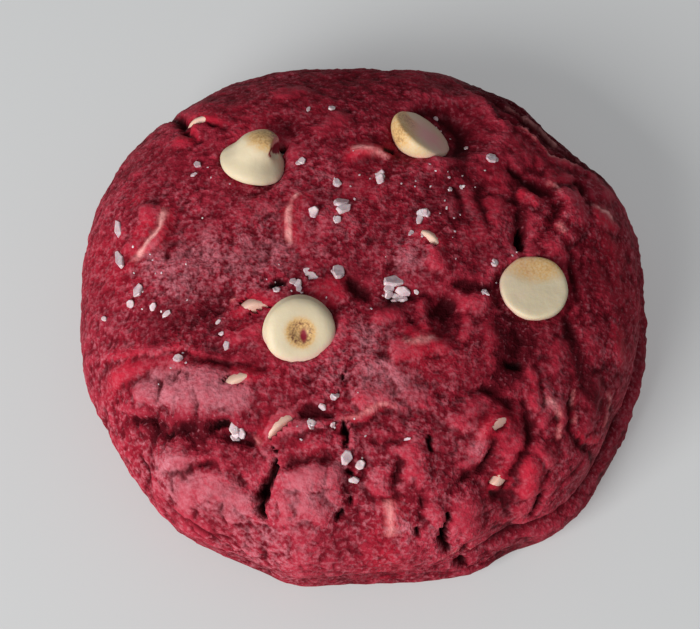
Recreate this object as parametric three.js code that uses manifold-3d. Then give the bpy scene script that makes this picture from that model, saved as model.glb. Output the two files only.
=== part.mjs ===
// A thick red velvet cookie: a domed dough cap that overhangs a low foot, with creases, cracks
// and pits baked into it, white chocolate chips set in sockets, and flakes of salt on top.
// Millimetres, +Z up. The origin is the middle of the flat underside; -Y faces the viewer.
import * as THREE from 'three';
import { ImprovedNoise } from 'three/addons/math/ImprovedNoise.js';
import { mergeVertices } from 'three/addons/utils/BufferGeometryUtils.js';
import Module from 'manifold-3d';

const wasm = await Module();
wasm.setup();

// ---- driving dimensions ----
const MEAN_RADIUS = 44.6;
const COOKIE_HEIGHT = 29;
const LIP_HEIGHT = 11; // the height at which the domed cap is widest
const DOME_POWER = 2.6; // above 2 the top is flatter than an ellipse
const FOOT_SIDE = THREE.MathUtils.degToRad(-5); // the direction in which the foot shows most
const FOOT_SHOWS = 1.9; // how far the foot reaches past the cap on that side
const FOOT_HIDES = 1.2; // how far the foot stays inside the cap on the other side
const CHIP_RADIUS = 5.4;
const CHIP_HEIGHT = 6.2;
const FIT_GAP = 0.3; // clearance between a chip and its socket
const SURFACE_DETAIL = 17; // subdivisions of the icosahedron that becomes the dough

// Slow waves of the plan outline: [waves per turn, cosine part, sine part], in mm.
const OUTLINE_WAVES = [
  [2, 0.83, -0.44],
  [3, 0.10, 0.25],
  [4, -0.50, -0.10],
  [5, 0.00, 0.16],
];

// The side below the cap's lip, as [share of the radius, height], down to the flat underside.
const SIDE_PROFILE = [
  [0.998, 9.8], [0.986, 8.5], [0.984, 7.6], [0.993, 6.4], [1.0, 5.0],
  [0.998, 3.4], [0.986, 1.6], [0.958, 0.45], [0.925, 0],
];

// Swellings and hollows: [x, y, radius, height], a hollow having a negative height.
const SWELLINGS = [
  [-24, -20.5, 8, 1.3], [-15, -20, 6, 0.9], [-22, -33, 8, 1.0], [-7.5, -34, 6, 0.8],
  [6.5, -30, 6.5, 0.9], [16.5, -25.5, 6, 1.3], [30.5, 9, 6.5, 1.2], [26.4, 11.8, 2.6, 1.0],
  [-5.7, -6, 3.2, 1.0], [9.5, 2, 5, 0.9], [21, -13, 6, 0.8], [33.6, -19.5, 3.6, 1.1],
  [-33, 9, 5, 0.8], [-6.5, 6.8, 5, 0.7], [7.5, -17, 6, 0.7], [-4, 34, 8, -0.6],
  [-24, 28, 6, 0.9], [20, 24, 8, 0.7], [26.5, -30, 5, 0.8], [11, -38, 4, 0.6],
  [25.4, -4.2, 7.5, -1.4], [24, 5, 3, -1.6], [6, 19.5, 4, -0.9], [-13.5, 19.3, 3, -1.0],
  [3, -7.5, 5, -0.9], [12, -9.5, 5, -1.1], [-22, -8, 7, -0.9], [17, 12, 6, -0.6],
  [-12, 4, 9, -0.5], [18, -19, 4, -0.8], [38.5, 19.5, 6, 0.9], [17, -41.5, 4, -0.6],
];

// Shelves, where the dough on the left of a line drawn through the points stands higher.
const SHELVES = [
  { step: 0.9, reach: 5, points: [[-35.5, -21.7], [-30.4, -22.3], [-23.4, -24.6], [-14.7, -28.2]] },
  { step: 0.6, reach: 4, points: [[-30, -30.8], [-26, -30.8], [-22.5, -30.2]] },
  { step: 0.5, reach: 4, points: [[-27, -12.8], [-23.6, -14.3], [-20.1, -15.1]] },
  { step: 0.7, reach: 4, points: [[10, -32.7], [12.9, -32.9], [15.7, -31.8], [18.1, -29.9]] },
  { step: 0.5, reach: 4, points: [[-11.5, -27.3], [-9.6, -27], [-3.5, -25.5], [6, -24]] },
  { step: 0.5, reach: 4, points: [[-29.1, 30], [-27.1, 24.9], [-25.3, 22.6]] },
  {
    step: 0.7,
    reach: 4,
    points: [[36.8, 17.7], [31.3, 20.6], [24.2, 25.6], [21.3, 30.4], [18.4, 35.1], [13.4, 38.7]],
  },
];

// Creases pressed into the surface: half-width, depth, and the points that each runs through.
const CREASES = [
  { width: 1.6, depth: 1.5, points: [[25, 15.2], [27.4, 13.8], [29.2, 11.7], [28.6, 8], [29, 5.1]] },
  { width: 1.4, depth: 1.0, points: [[32.7, 15.8], [34.1, 14], [36, 12.9]] },
  { width: 1.5, depth: 1.3, points: [[-29.1, 30], [-25.6, 24.5], [-23, 23], [-20.5, 20.7]] },
  { width: 1.8, depth: 1.5, points: [[17.9, -22.1], [21, -22.3], [24, -24.5], [23, -29], [21, -32]] },
  { width: 1.5, depth: 1.1, points: [[35.9, -14.7], [31.9, -16.5], [30.5, -22.6], [33.2, -24.9]] },
  { width: 1.4, depth: 0.8, points: [[33.2, -24.9], [35.5, -23.2], [36.5, -17.1]] },
  { width: 1.7, depth: 1.2, points: [[21.5, -8.5], [19.8, -13], [18, -17.5]] },
  { width: 1.5, depth: 0.8, points: [[-2, -5.4], [3.9, -7.8], [9.8, -8.5], [17.1, -11.7]] },
  { width: 1.4, depth: 0.8, points: [[18.5, -33.1], [21.1, -33.5], [24, -33]] },
];

// Cracks cut into the dough: greatest width, depth, and the points that each runs through.
const CRACKS = [
  {
    width: 2.2,
    depth: 3.5,
    points: [[-13.2, -27.6], [-13, -30], [-14.3, -33.4], [-14.8, -36], [-13.2, -38.6]],
  },
  { width: 0.9, depth: 2.0, points: [[-2.7, -18], [-3, -20.1], [-3.1, -22.2]] },
  { width: 1.5, depth: 2.5, points: [[-3, -25.4], [-3.1, -28], [-2.6, -30.2], [-1.6, -32.8]] },
  { width: 1.1, depth: 2.0, points: [[-2.3, -34], [-1.9, -36], [-3.1, -38.8]] },
  { width: 1.1, depth: 1.6, points: [[-30.6, -16.6], [-29.7, -18.5], [-30.2, -21.4]] },
  { width: 1.0, depth: 1.5, points: [[-12.2, -32], [-9.6, -31], [-6.6, -30.9], [-3.5, -31]] },
  { width: 1.2, depth: 1.8, points: [[26.6, -31.6], [25.2, -33.2], [25.3, -35]] },
];

// Pits: [x, y, width, length, depth].
const PITS = [
  [11.7, -39.4, 1.3, 3.0, 2.2], [15.4, -41.4, 1.9, 2.0, 2.4], [3.2, 18.4, 1.6, 1.2, 2.0],
  [24.2, 3.2, 1.6, 2.4, 2.2], [-13.4, 18.9, 1.4, 1.0, 1.6], [9.6, -28, 0.9, 1.2, 1.3],
];

// Chips: where each breaks the surface, the direction of its tip, how deep the middle of its
// widest ring lies under the surface, its share of the full size, and, where its tip has
// melted down, the share of its height that is left.
const CHIPS = [
  { name: 'chip_back_left', at: [-17.2, 17], tip: [0.2, 0.45, 0.87], deep: 1.1, size: 1 },
  { name: 'chip_back', at: [9.3, 22.4], tip: [-0.59, -0.45, -0.67], deep: 1.6, size: 0.95 },
  { name: 'chip_front_left', at: [-9.7, -11.2], tip: [0.14, -0.5, 0.86], deep: 0.5, size: 1, left: 0.62 },
  { name: 'chip_right', at: [25.4, -4.2], tip: [-0.25, 0.17, -0.95], deep: 0.1, size: 0.95 },
  { name: 'chip_edge_back_left', at: [-26.5, 26.2], tip: [0.4, 0.7, -0.6], deep: 2.2, size: 0.75 },
  { name: 'chip_left_rim', at: [-33.7, 7.4], tip: [0.63, -0.27, -0.72], deep: 2.5, size: 0.9 },
  { name: 'chip_middle_rim', at: [-7.8, 6.4], tip: [-0.42, 0.1, -0.9], deep: 2.8, size: 0.9 },
  { name: 'chip_beside_front_left', at: [-17.2, -6.6], tip: [-0.2, 0.9, -0.35], deep: 3.5, size: 0.75 },
  { name: 'chip_left_shelf', at: [-18.1, -18.8], tip: [-0.3, 0.9, -0.3], deep: 3.6, size: 0.75 },
  { name: 'chip_front_shelf', at: [-12, -25.9], tip: [-0.59, 0.81, -0.1], deep: 3.5, size: 0.75 },
  { name: 'chip_middle_tip', at: [9.7, 2.8], tip: [0.5, 0.6, -0.6], deep: 2.8, size: 0.7 },
  { name: 'chip_right_lump', at: [19.4, -24.7], tip: [-0.6, 0.7, -0.3], deep: 2.75, size: 0.6 },
  { name: 'chip_front_right', at: [19.2, -31.9], tip: [0.6, -0.2, -0.7], deep: 2.6, size: 0.6 },
  { name: 'chip_front', at: [3.8, -37.6], tip: [0.9, 0.2, -0.3], deep: 3.2, size: 0.7 },
  { name: 'chip_front_streak', at: [8.2, -13.7], tip: [0, 0.95, -0.2], deep: 4.45, size: 0.9 },
  { name: 'chip_back_streak', at: [0.6, 18.4], tip: [-0.2, 0.9, -0.3], deep: 3.6, size: 0.8 },
  { name: 'chip_edge_right', at: [37.2, 11.6], tip: [0.1, 0.75, -0.65], deep: 2.7, size: 0.6 },
];
const ROUND_SIDES = 16; // sides of a chip that shows whole
const BURIED_SIDES = 10; // sides of a chip of which little shows

// Salt flakes: [x, y, width].
const SALT_FLAKES = [
  [-37.1, 7.5, 2.2], [-37, 2, 2.6], [-33.7, -2.5, 1.5], [-31.4, -6, 1.1], [-29.2, -7.8, 1.4],
  [-25.5, 17.5, 1.3], [-9.7, 16.8, 1.4], [-4.2, 13, 1.3], [-8.6, 9.9, 1.5], [-3.2, 8.4, 2.3],
  [-7.7, -2.6, 2.1], [-3.8, -2.6, 1.7], [-10.9, -3.9, 1.7], [2.8, 13.8, 1.7], [8.9, 6.8, 1.6],
  [4.5, -4.1, 2.3], [2.6, -5.8, 1.8], [5.8, -6.2, 1.8], [19.9, 18.4, 1.8], [16.1, 21.6, 1.1],
  [13.2, 12.1, 1.1], [18.8, -0.9, 1.2], [-19.9, -13.7, 1.3], [-27.2, -15.3, 1.3], [-18.2, -26.2, 2.3],
  [-7.5, -25.9, 1.3], [-4.6, -30, 1.8], [-0.4, -31.2, 1.6], [0.2, -33.6, 1.3], [-4.8, -21.6, 1.2],
];
const FLAKE_SIDES = 5;
const FLAKE_THICKNESS = 0.45; // as a share of the flake's width

// ---- helpers ----
const noise = new ImprovedNoise();
const up = new THREE.Vector3(0, 0, 1);

function toManifold(geometry) {
  const bare = geometry.clone();
  bare.deleteAttribute('normal');
  bare.deleteAttribute('uv');
  const merged = mergeVertices(bare, 1e-4);
  return new wasm.Manifold(new wasm.Mesh({
    numProp: 3,
    vertProperties: new Float32Array(merged.attributes.position.array),
    triVerts: new Uint32Array(merged.index.array),
  }));
}

function toGeometry(solid) {
  const mesh = solid.getMesh();
  const geometry = new THREE.BufferGeometry();
  geometry.setAttribute('position', new THREE.BufferAttribute(mesh.vertProperties, 3));
  geometry.setIndex(new THREE.BufferAttribute(mesh.triVerts, 1));
  geometry.computeVertexNormals();
  return geometry;
}

function largestBody(solid) {
  const bodies = solid.decompose();
  return bodies.reduce((largest, body) => (body.volume() > largest.volume() ? body : largest));
}

function pathOf(points) {
  const curve = new THREE.SplineCurve(points.map(([x, y]) => new THREE.Vector2(x, y)));
  return curve.getPoints(points.length * 6);
}

// The nearest place on a path: its distance, the side it is passed on, and how far along it is.
function nearestOn(path, x, y) {
  const nearest = { distance: Infinity, side: 0, along: 0 };
  for (let i = 0; i + 1 < path.length; i += 1) {
    const dx = path[i + 1].x - path[i].x;
    const dy = path[i + 1].y - path[i].y;
    const share = ((x - path[i].x) * dx + (y - path[i].y) * dy) / (dx * dx + dy * dy);
    const t = THREE.MathUtils.clamp(share, 0, 1);
    const offX = x - path[i].x - t * dx;
    const offY = y - path[i].y - t * dy;
    const distance = Math.hypot(offX, offY);
    if (distance < nearest.distance) {
      nearest.distance = distance;
      nearest.side = Math.sign(dx * offY - dy * offX);
      nearest.along = (i + t) / (path.length - 1);
    }
  }
  return nearest;
}

// 0 at both ends of a path and 1 along its middle.
function taper(along) {
  return Math.min(1, 4 * along, 4 * (1 - along));
}

// ---- the dough's outline and profile ----
function outlineRadius(angle) {
  const waves = OUTLINE_WAVES.map(
    ([count, cosine, sine]) => cosine * Math.cos(count * angle) + sine * Math.sin(count * angle),
  );
  return MEAN_RADIUS + waves.reduce((sum, wave) => sum + wave, 0);
}

// 1 on the side where the foot shows past the cap, 0 on the side where the cap hides it.
function footShare(angle) {
  return THREE.MathUtils.smoothstep(Math.cos(angle - FOOT_SIDE), 0.1, 0.7);
}

function capRadius(angle) {
  return outlineRadius(angle) - FOOT_SHOWS * footShare(angle);
}

function footRadius(angle) {
  return outlineRadius(angle) - FOOT_HIDES * (1 - footShare(angle));
}

function radiusAt(angle, z) {
  const capShare = THREE.MathUtils.smoothstep(z, 6, LIP_HEIGHT);
  return THREE.MathUtils.lerp(footRadius(angle), capRadius(angle), capShare);
}

function domeHeight(share) {
  const rise = Math.sqrt(Math.max(0, 1 - Math.min(1, share) ** DOME_POWER));
  return LIP_HEIGHT + (COOKIE_HEIGHT - LIP_HEIGHT) * rise;
}

// Outward direction of the smooth dome at a share of the cap's radius and a height.
function outwardOf(angle, share, z) {
  const across = DOME_POWER * share ** (DOME_POWER - 1) / MEAN_RADIUS;
  const rise = 2 * Math.max(0, z - LIP_HEIGHT) / (COOKIE_HEIGHT - LIP_HEIGHT) ** 2;
  return new THREE.Vector3(across * Math.cos(angle), across * Math.sin(angle), rise).normalize();
}

// ---- relief, in mm outward from the smooth dome ----
const shelfPaths = SHELVES.map((shelf) => ({ ...shelf, path: pathOf(shelf.points) }));
const creasePaths = CREASES.map((crease) => ({ ...crease, path: pathOf(crease.points) }));

function relief(x, y, z) {
  let height = 0.7 * noise.noise(x / 9, y / 9, z / 9 + 3.7) + 0.35 * noise.noise(x / 4, y / 4, z / 4);
  for (const [cx, cy, radius, rise] of SWELLINGS) {
    const distance = Math.hypot(x - cx, y - cy) / radius;
    height += rise * Math.exp(-(distance ** 2) * 1.6);
  }
  for (const { step, reach, path } of shelfPaths) {
    const { distance, side, along } = nearestOn(path, x, y);
    const fade = Math.max(0, 1 - distance / reach) ** 2;
    height += step * side * fade * taper(along);
  }
  for (const { width, depth, path } of creasePaths) {
    const { distance, along } = nearestOn(path, x, y);
    height -= depth * Math.exp(-((distance / width) ** 2)) * Math.max(0.4, taper(along));
  }
  return height * THREE.MathUtils.smoothstep(z, 0.5, 5);
}

// The baked surface above a place in the plan, and the outward direction there.
function surfaceAt(x, y) {
  const angle = Math.atan2(y, x);
  const share = Math.hypot(x, y) / capRadius(angle);
  const z = domeHeight(share);
  const outward = outwardOf(angle, share, z);
  const point = new THREE.Vector3(x, y, z).addScaledVector(outward, relief(x, y, z));
  return { point, outward };
}

// ---- the dough before anything is cut from it ----
const BASE_WEIGHT = 0.2; // the flat underside gets fewer triangles than the rest
const PROFILE_STEPS = 400;

function doughProfile() {
  const domePoints = [];
  for (let degrees = 0; degrees <= 90; degrees += 7.5) {
    const share = Math.sin(THREE.MathUtils.degToRad(degrees));
    domePoints.push(new THREE.Vector2(share, domeHeight(share) / MEAN_RADIUS));
  }
  const sidePoints = SIDE_PROFILE.map(([share, z]) => new THREE.Vector2(share, z / MEAN_RADIUS));
  const profile = new THREE.CurvePath();
  profile.add(new THREE.SplineCurve([...domePoints, ...sidePoints]));
  profile.add(new THREE.LineCurve(sidePoints.at(-1), new THREE.Vector2(0, 0)));
  return profile.getSpacedPoints(PROFILE_STEPS);
}

// Spreads the directions of a sphere evenly over the profile's area.
function profileLookup(points) {
  const areas = [0];
  for (let i = 1; i < points.length; i += 1) {
    const weight = points[i - 1].y <= 0 ? BASE_WEIGHT : 1;
    const area = (points[i - 1].x + points[i].x) * points[i].distanceTo(points[i - 1]);
    areas.push(areas.at(-1) + area * weight);
  }
  const total = areas.at(-1);
  return (share) => {
    let i = 1;
    while (i < points.length - 1 && areas[i] < share * total) i += 1;
    const part = (share * total - areas[i - 1]) / (areas[i] - areas[i - 1]);
    return new THREE.Vector2().lerpVectors(points[i - 1], points[i], THREE.MathUtils.clamp(part, 0, 1));
  };
}

function bakedDough() {
  const geometry = new THREE.IcosahedronGeometry(1, SURFACE_DETAIL);
  const onProfile = profileLookup(doughProfile());
  const positions = geometry.attributes.position;
  for (let i = 0; i < positions.count; i += 1) {
    const direction = new THREE.Vector3().fromBufferAttribute(positions, i).normalize();
    const angle = Math.atan2(direction.y, direction.x);
    const profile = onProfile((1 - direction.z) / 2);
    const z = Math.max(0, profile.y * MEAN_RADIUS);
    const radius = profile.x * radiusAt(angle, z);
    const place = new THREE.Vector3(radius * Math.cos(angle), radius * Math.sin(angle), z);
    const outward = outwardOf(angle, profile.x, z);
    place.addScaledVector(outward, relief(place.x, place.y, z));
    positions.setXYZ(i, place.x, place.y, place.z);
  }
  return toManifold(geometry);
}

// ---- cutters ----
// A wedge that follows a crack: wide above the surface, sharp below it, closing at both ends.
function crackCutter({ width, depth, points }) {
  const path = pathOf(points);
  const stations = points.length * 2;
  const geometry = new THREE.CylinderGeometry(1, 1, 1, 3, stations);
  const positions = geometry.attributes.position;
  const clearOfSurface = 1.2;
  for (let i = 0; i < positions.count; i += 1) {
    const along = positions.getY(i) + 0.5;
    const exact = along * (path.length - 1);
    const before = Math.min(path.length - 2, Math.floor(exact));
    const middle = new THREE.Vector2().lerpVectors(path[before], path[before + 1], exact - before);
    const heading = new THREE.Vector2().subVectors(path[before + 1], path[before]).normalize();
    const { point, outward } = surfaceAt(middle.x, middle.y);
    const across = new THREE.Vector3().crossVectors(new THREE.Vector3(heading.x, heading.y, 0), outward);
    const open = Math.max(0.12, Math.sin(Math.PI * along) ** 0.7);
    const isCorner = Math.abs(positions.getX(i)) + Math.abs(positions.getZ(i)) > 0.01;
    const isBottom = positions.getZ(i) > 0.9;
    const sideways = isCorner && !isBottom ? Math.sign(positions.getX(i)) * width * open * 0.75 : 0;
    const lift = isCorner && isBottom ? -depth * open : clearOfSurface * (isCorner ? 1 : 0.2);
    const place = point.clone().addScaledVector(across.normalize(), sideways).addScaledVector(outward, lift);
    positions.setXYZ(i, place.x, place.y, place.z);
  }
  return orientedOutward(toManifold(geometry), geometry);
}

// Turns a body right side out if following its path has turned it inside out.
function orientedOutward(solid, geometry) {
  if (solid.volume() > 0) return solid;
  const flipped = geometry.clone();
  const index = flipped.index.array;
  for (let i = 0; i < index.length; i += 3) {
    [index[i], index[i + 1]] = [index[i + 1], index[i]];
  }
  return toManifold(flipped);
}

function pitCutter([x, y, width, length, depth]) {
  const { point, outward } = surfaceAt(x, y);
  const geometry = new THREE.IcosahedronGeometry(1, 1);
  geometry.scale(width / 2, length / 2, depth);
  geometry.applyQuaternion(new THREE.Quaternion().setFromUnitVectors(up, outward));
  geometry.translate(point.x, point.y, point.z);
  return toManifold(geometry);
}

// ---- white chocolate chips ----
const CHIP_PROFILE = [
  [0.5, 0], [0.84, 0.015], [0.97, 0.1], [1, 0.24], [0.92, 0.42], [0.72, 0.6], [0.44, 0.77], [0.17, 0.93],
];
const BURIED_PROFILE = [[0.82, 0], [1, 0.2], [0.74, 0.58], [0.3, 0.86]];
const WIDEST_SHARE = 0.24; // of the chip's height, where its widest ring lies

// A drop with a flat base and a blunt tip along +Z, its widest ring around the origin.
function chipGeometry(profile, sides, size, left, grow) {
  const radius = CHIP_RADIUS * size;
  const height = CHIP_HEIGHT * size * left;
  const outline = [new THREE.Vector2(0, -grow)];
  for (const [radiusShare, heightShare] of profile) {
    const towardTip = THREE.MathUtils.clamp((heightShare - WIDEST_SHARE) * 2, -1, 1);
    outline.push(new THREE.Vector2(radiusShare * radius + grow, heightShare * height + grow * towardTip));
  }
  outline.push(new THREE.Vector2(0, height + grow));
  const geometry = new THREE.LatheGeometry(outline, sides);
  geometry.rotateX(Math.PI / 2);
  geometry.translate(0, 0, -WIDEST_SHARE * height);
  return geometry;
}

function placedChip({ at, tip, deep, size, whole, left = 1 }, grow) {
  const geometry = whole
    ? chipGeometry(CHIP_PROFILE, ROUND_SIDES, size, left, grow)
    : chipGeometry(BURIED_PROFILE, BURIED_SIDES, size, left, grow);
  const { point, outward } = surfaceAt(...at);
  const direction = new THREE.Vector3(...tip).normalize();
  const centre = point.addScaledVector(outward, -deep);
  geometry.applyQuaternion(new THREE.Quaternion().setFromUnitVectors(up, direction));
  geometry.translate(centre.x, centre.y, centre.z);
  return toManifold(geometry);
}

// ---- salt ----
// A thin crystal lying half in the dough, turned and tipped by its place in the list.
function saltFlake([x, y, width], order) {
  const { point, outward } = surfaceAt(x, y);
  const thickness = width * FLAKE_THICKNESS;
  const geometry = new THREE.CylinderGeometry(width * 0.38, width * 0.52, thickness, FLAKE_SIDES);
  geometry.rotateX(Math.PI / 2);
  geometry.scale(1, 0.72, 1);
  geometry.rotateZ(order * 2.4);
  geometry.rotateX(0.3 * Math.sin(order * 1.7));
  geometry.applyQuaternion(new THREE.Quaternion().setFromUnitVectors(up, outward));
  const centre = point.addScaledVector(outward, thickness * 0.2);
  geometry.translate(centre.x, centre.y, centre.z);
  return toManifold(geometry);
}

// ---- the pieces ----
const chips = CHIPS.map((chip, order) => ({ ...chip, whole: order < 4 }));

function doughSolid() {
  const cutters = [...CRACKS.map(crackCutter), ...PITS.map(pitCutter)];
  const cracked = largestBody(wasm.Manifold.difference([bakedDough(), ...cutters]));
  const salted = wasm.Manifold.union([cracked, ...SALT_FLAKES.map(saltFlake)]);
  const sockets = chips.map((chip) => placedChip(chip, FIT_GAP));
  return largestBody(wasm.Manifold.difference([salted, ...sockets]));
}

const doughMaterial = new THREE.MeshStandardMaterial({ color: 0x7d2c3a, roughness: 0.75, metalness: 0 });
const chipMaterial = new THREE.MeshStandardMaterial({ color: 0xdccfae, roughness: 0.4, metalness: 0 });

function namedMesh(name, solid, material) {
  const mesh = new THREE.Mesh(toGeometry(solid), material);
  mesh.name = name;
  return mesh;
}

const cookie = new THREE.Group();
cookie.add(namedMesh('dough', doughSolid(), doughMaterial));
for (const chip of chips) {
  cookie.add(namedMesh(chip.name, placedChip(chip, 0), chipMaterial));
}

export default cookie;
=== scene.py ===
import math
import random

import bpy
import numpy as np
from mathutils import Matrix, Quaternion, Vector, noise
from mathutils.bvhtree import BVHTree


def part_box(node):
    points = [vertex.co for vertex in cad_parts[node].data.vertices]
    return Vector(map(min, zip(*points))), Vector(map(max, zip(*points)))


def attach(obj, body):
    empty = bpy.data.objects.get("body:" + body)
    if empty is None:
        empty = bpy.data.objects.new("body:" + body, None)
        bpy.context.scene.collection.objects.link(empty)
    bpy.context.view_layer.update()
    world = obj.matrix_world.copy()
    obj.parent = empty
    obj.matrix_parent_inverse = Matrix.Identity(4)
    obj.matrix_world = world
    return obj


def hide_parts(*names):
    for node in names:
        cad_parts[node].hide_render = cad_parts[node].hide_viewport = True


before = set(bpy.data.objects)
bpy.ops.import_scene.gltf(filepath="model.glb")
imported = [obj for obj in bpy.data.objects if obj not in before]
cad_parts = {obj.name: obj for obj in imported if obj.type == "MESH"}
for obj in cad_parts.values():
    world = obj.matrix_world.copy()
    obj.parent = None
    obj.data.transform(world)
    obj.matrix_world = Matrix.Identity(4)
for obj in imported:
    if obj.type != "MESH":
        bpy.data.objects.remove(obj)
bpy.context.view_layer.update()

MM = 0.001  # metres in a millimetre


# ---------------------------------------------------------------------------
# The view: a pale, softly glowing table, with daylight that comes low from the
# front left, seen from above. None of it belongs to the cookie.
# ---------------------------------------------------------------------------
VIEW_ELEVATION = math.radians(65)
VIEW_DISTANCE = 306 * MM
VIEW_TARGET = Vector((-2.0, -0.6, 10.0)) * MM
LENS = 100  # focal length in mm
SENSOR_WIDTH = 36  # in mm
NEAREST_SEEN = 0.01
FARTHEST_SEEN = 20
TABLE_WIDTH = 6.0
TABLE_COLOUR = (0.50, 0.515, 0.52, 1)
TABLE_ROUGHNESS = 0.6
TABLE_GLOSS = 0.1
TABLE_GLOW = 0.215
SKY_COLOUR = (0.95, 0.97, 1.0, 1)
SKY_STRENGTH = 0.24
WALL_BRIGHTNESS = 0.55  # what shows past the end of the table
WINDOW_DIRECTION = (-0.66, -0.70, 0.56)
WINDOW_DISTANCE = 0.9
WINDOW_WIDTH = 0.5
WINDOW_COLOUR = (1.0, 0.985, 0.97)
WINDOW_POWER = 8.6


def deselect_all():
    bpy.ops.object.select_all(action="DESELECT")


def set_inputs(node, values):
    """Sets inputs of a node, by name or number, to a value or to another node's output."""
    for key, value in values.items():
        if isinstance(value, bpy.types.NodeSocket):
            node.id_data.links.new(value, node.inputs[key])
        else:
            node.inputs[key].default_value = value


def add_node(tree, kind, values=None, **settings):
    node = tree.nodes.new("ShaderNode" + kind)
    for name, setting in settings.items():
        setattr(node, name, setting)
    set_inputs(node, values or {})
    return node


def spread(tree, source, low, high, to_low=0.0, to_high=1.0):
    """Stretches low..high of a value to to_low..to_high, and clips it there."""
    values = {"Value": source, "From Min": low, "From Max": high, "To Min": to_low, "To Max": to_high}
    return add_node(tree, "MapRange", values).outputs["Result"]


def plain_material(name, colour, roughness):
    """A new material, its shader and its node tree."""
    material = bpy.data.materials.new(name)
    material.use_nodes = True
    shader = material.node_tree.nodes["Principled BSDF"]
    set_inputs(shader, {"Base Color": colour, "Roughness": roughness})
    return material, shader, material.node_tree


def add_camera():
    back = Vector((0, -math.cos(VIEW_ELEVATION), math.sin(VIEW_ELEVATION)))
    bpy.ops.object.camera_add(location=VIEW_TARGET + back * VIEW_DISTANCE)
    camera = bpy.context.object
    camera.rotation_mode = "QUATERNION"
    camera.rotation_quaternion = (-back).to_track_quat("-Z", "Y")
    camera.data.lens = LENS
    camera.data.sensor_width = SENSOR_WIDTH
    camera.data.clip_start = NEAREST_SEEN
    camera.data.clip_end = FARTHEST_SEEN
    bpy.context.scene.camera = camera


def add_table():
    deselect_all()
    bpy.ops.mesh.primitive_plane_add(size=TABLE_WIDTH)
    table = bpy.context.object
    table.name = "table"
    material, shader, _ = plain_material("table_top", TABLE_COLOUR, TABLE_ROUGHNESS)
    set_inputs(shader, {
        "Specular IOR Level": TABLE_GLOSS,
        "Emission Color": (1, 1, 1, 1),
        "Emission Strength": TABLE_GLOW,
    })
    table.data.materials.append(material)


def add_sky():
    """Dim even light from all round, and a pale wall far behind, which only the view sees."""
    world = bpy.data.worlds.new("daylight")
    world.use_nodes = True
    tree = world.node_tree
    seen = add_node(tree, "LightPath").outputs["Is Camera Ray"]
    strength = spread(tree, seen, 0, 1, SKY_STRENGTH, WALL_BRIGHTNESS)
    set_inputs(tree.nodes["Background"], {"Color": SKY_COLOUR, "Strength": strength})
    bpy.context.scene.world = world


def add_window():
    """One big low window: a square of light that faces the cookie."""
    towards = Vector(WINDOW_DIRECTION).normalized()
    bpy.ops.object.light_add(type="AREA", location=towards * WINDOW_DISTANCE)
    light = bpy.context.object
    light.name = "window"
    light.rotation_mode = "QUATERNION"
    light.rotation_quaternion = towards.to_track_quat("Z", "Y")
    light.data.shape = "SQUARE"
    light.data.size = WINDOW_WIDTH
    light.data.energy = WINDOW_POWER
    light.data.color = WINDOW_COLOUR


add_camera()
add_table()
add_sky()
add_window()
bpy.context.scene.view_settings.view_transform = "Standard"


# ---------------------------------------------------------------------------
# The chips: drops of white chocolate with a flat base and a blunt tip, folded
# into the dough before baking. Heat has rounded them and toasted what stood
# proud. Each is moulded upright, turned to its tip and set where its solid is.
# ---------------------------------------------------------------------------
CHIP_SIDES = 24
CHIP_ROUNDINGS = 2
# [share of the radius, share of the height] of each ring, from the base to the tip
DROP_RINGS = [
    (0.72, 0.0), (0.93, 0.01), (0.995, 0.07), (1.0, 0.20), (0.93, 0.38), (0.74, 0.57), (0.46, 0.75),
    (0.22, 0.90), (0.08, 0.98),
]
TALL_RINGS = [
    (0.72, 0.0), (0.94, 0.01), (1.0, 0.09), (0.98, 0.2), (0.87, 0.32), (0.72, 0.45), (0.62, 0.58),
    (0.57, 0.70), (0.51, 0.82), (0.37, 0.93), (0.15, 0.99),
]
CHIP_RADIUS = 5.4 * MM
CHIP_HEIGHT = 6.2 * MM
CHIP_UNEVENNESS = [(3.4 * MM, 0.2 * MM, 2), (1.3 * MM, 0.05 * MM, 3)]  # [lump size, height, seed]
CHIP_CREAM = (0.755, 0.645, 0.445, 1)
CHIP_GOLDEN = (0.76, 0.48, 0.20, 1)
CHIP_BROWN = (0.24, 0.105, 0.055, 1)
CHIP_SMEARED = (0.86, 0.38, 0.38, 1)
CRUMB_RED = (0.26, 0.01, 0.026, 1)
CHIP_ROUGHNESS = 0.48
CHIP_GLOSS = 0.3
CHIP_GLOW = 0.2  # light that goes into the chocolate and comes out near by
CHIP_GLOW_DEPTH = 0.8 * MM
CHIP_GLOW_REACH = (1.2, 0.8, 0.4)  # of red, green and blue light, times that depth
CHIP_BUMPS = (0.25, 0.1 * MM)  # [strength, depth]

# The chips that show whole: [node, direction of the tip, shift in mm from where the solid
# is, how far up its side the dough reaches in mm, which way the dough faces there]
WHOLE_CHIPS = [
    ("chip_back_left", (0.2, 0.45, 0.87), (0.3, 0.9, 0.1), 0.7, (0.03, 0.24, 0.97)),
    ("chip_back", (-0.56, -0.42, -0.71), (-0.3, 0.3, 0.2), 0.4, (0.45, 0.4, 0.8)),
    ("chip_front_left", (0.14, -0.5, 0.86), (0.2, -0.5, 0), 0.4, (0.04, -0.4, 0.9)),
    ("chip_right", (-0.06, 0.02, -1.0), (0.4, 0.3, 0.3), 0.6, (0.08, -0.06, 1.0)),
]
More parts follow.
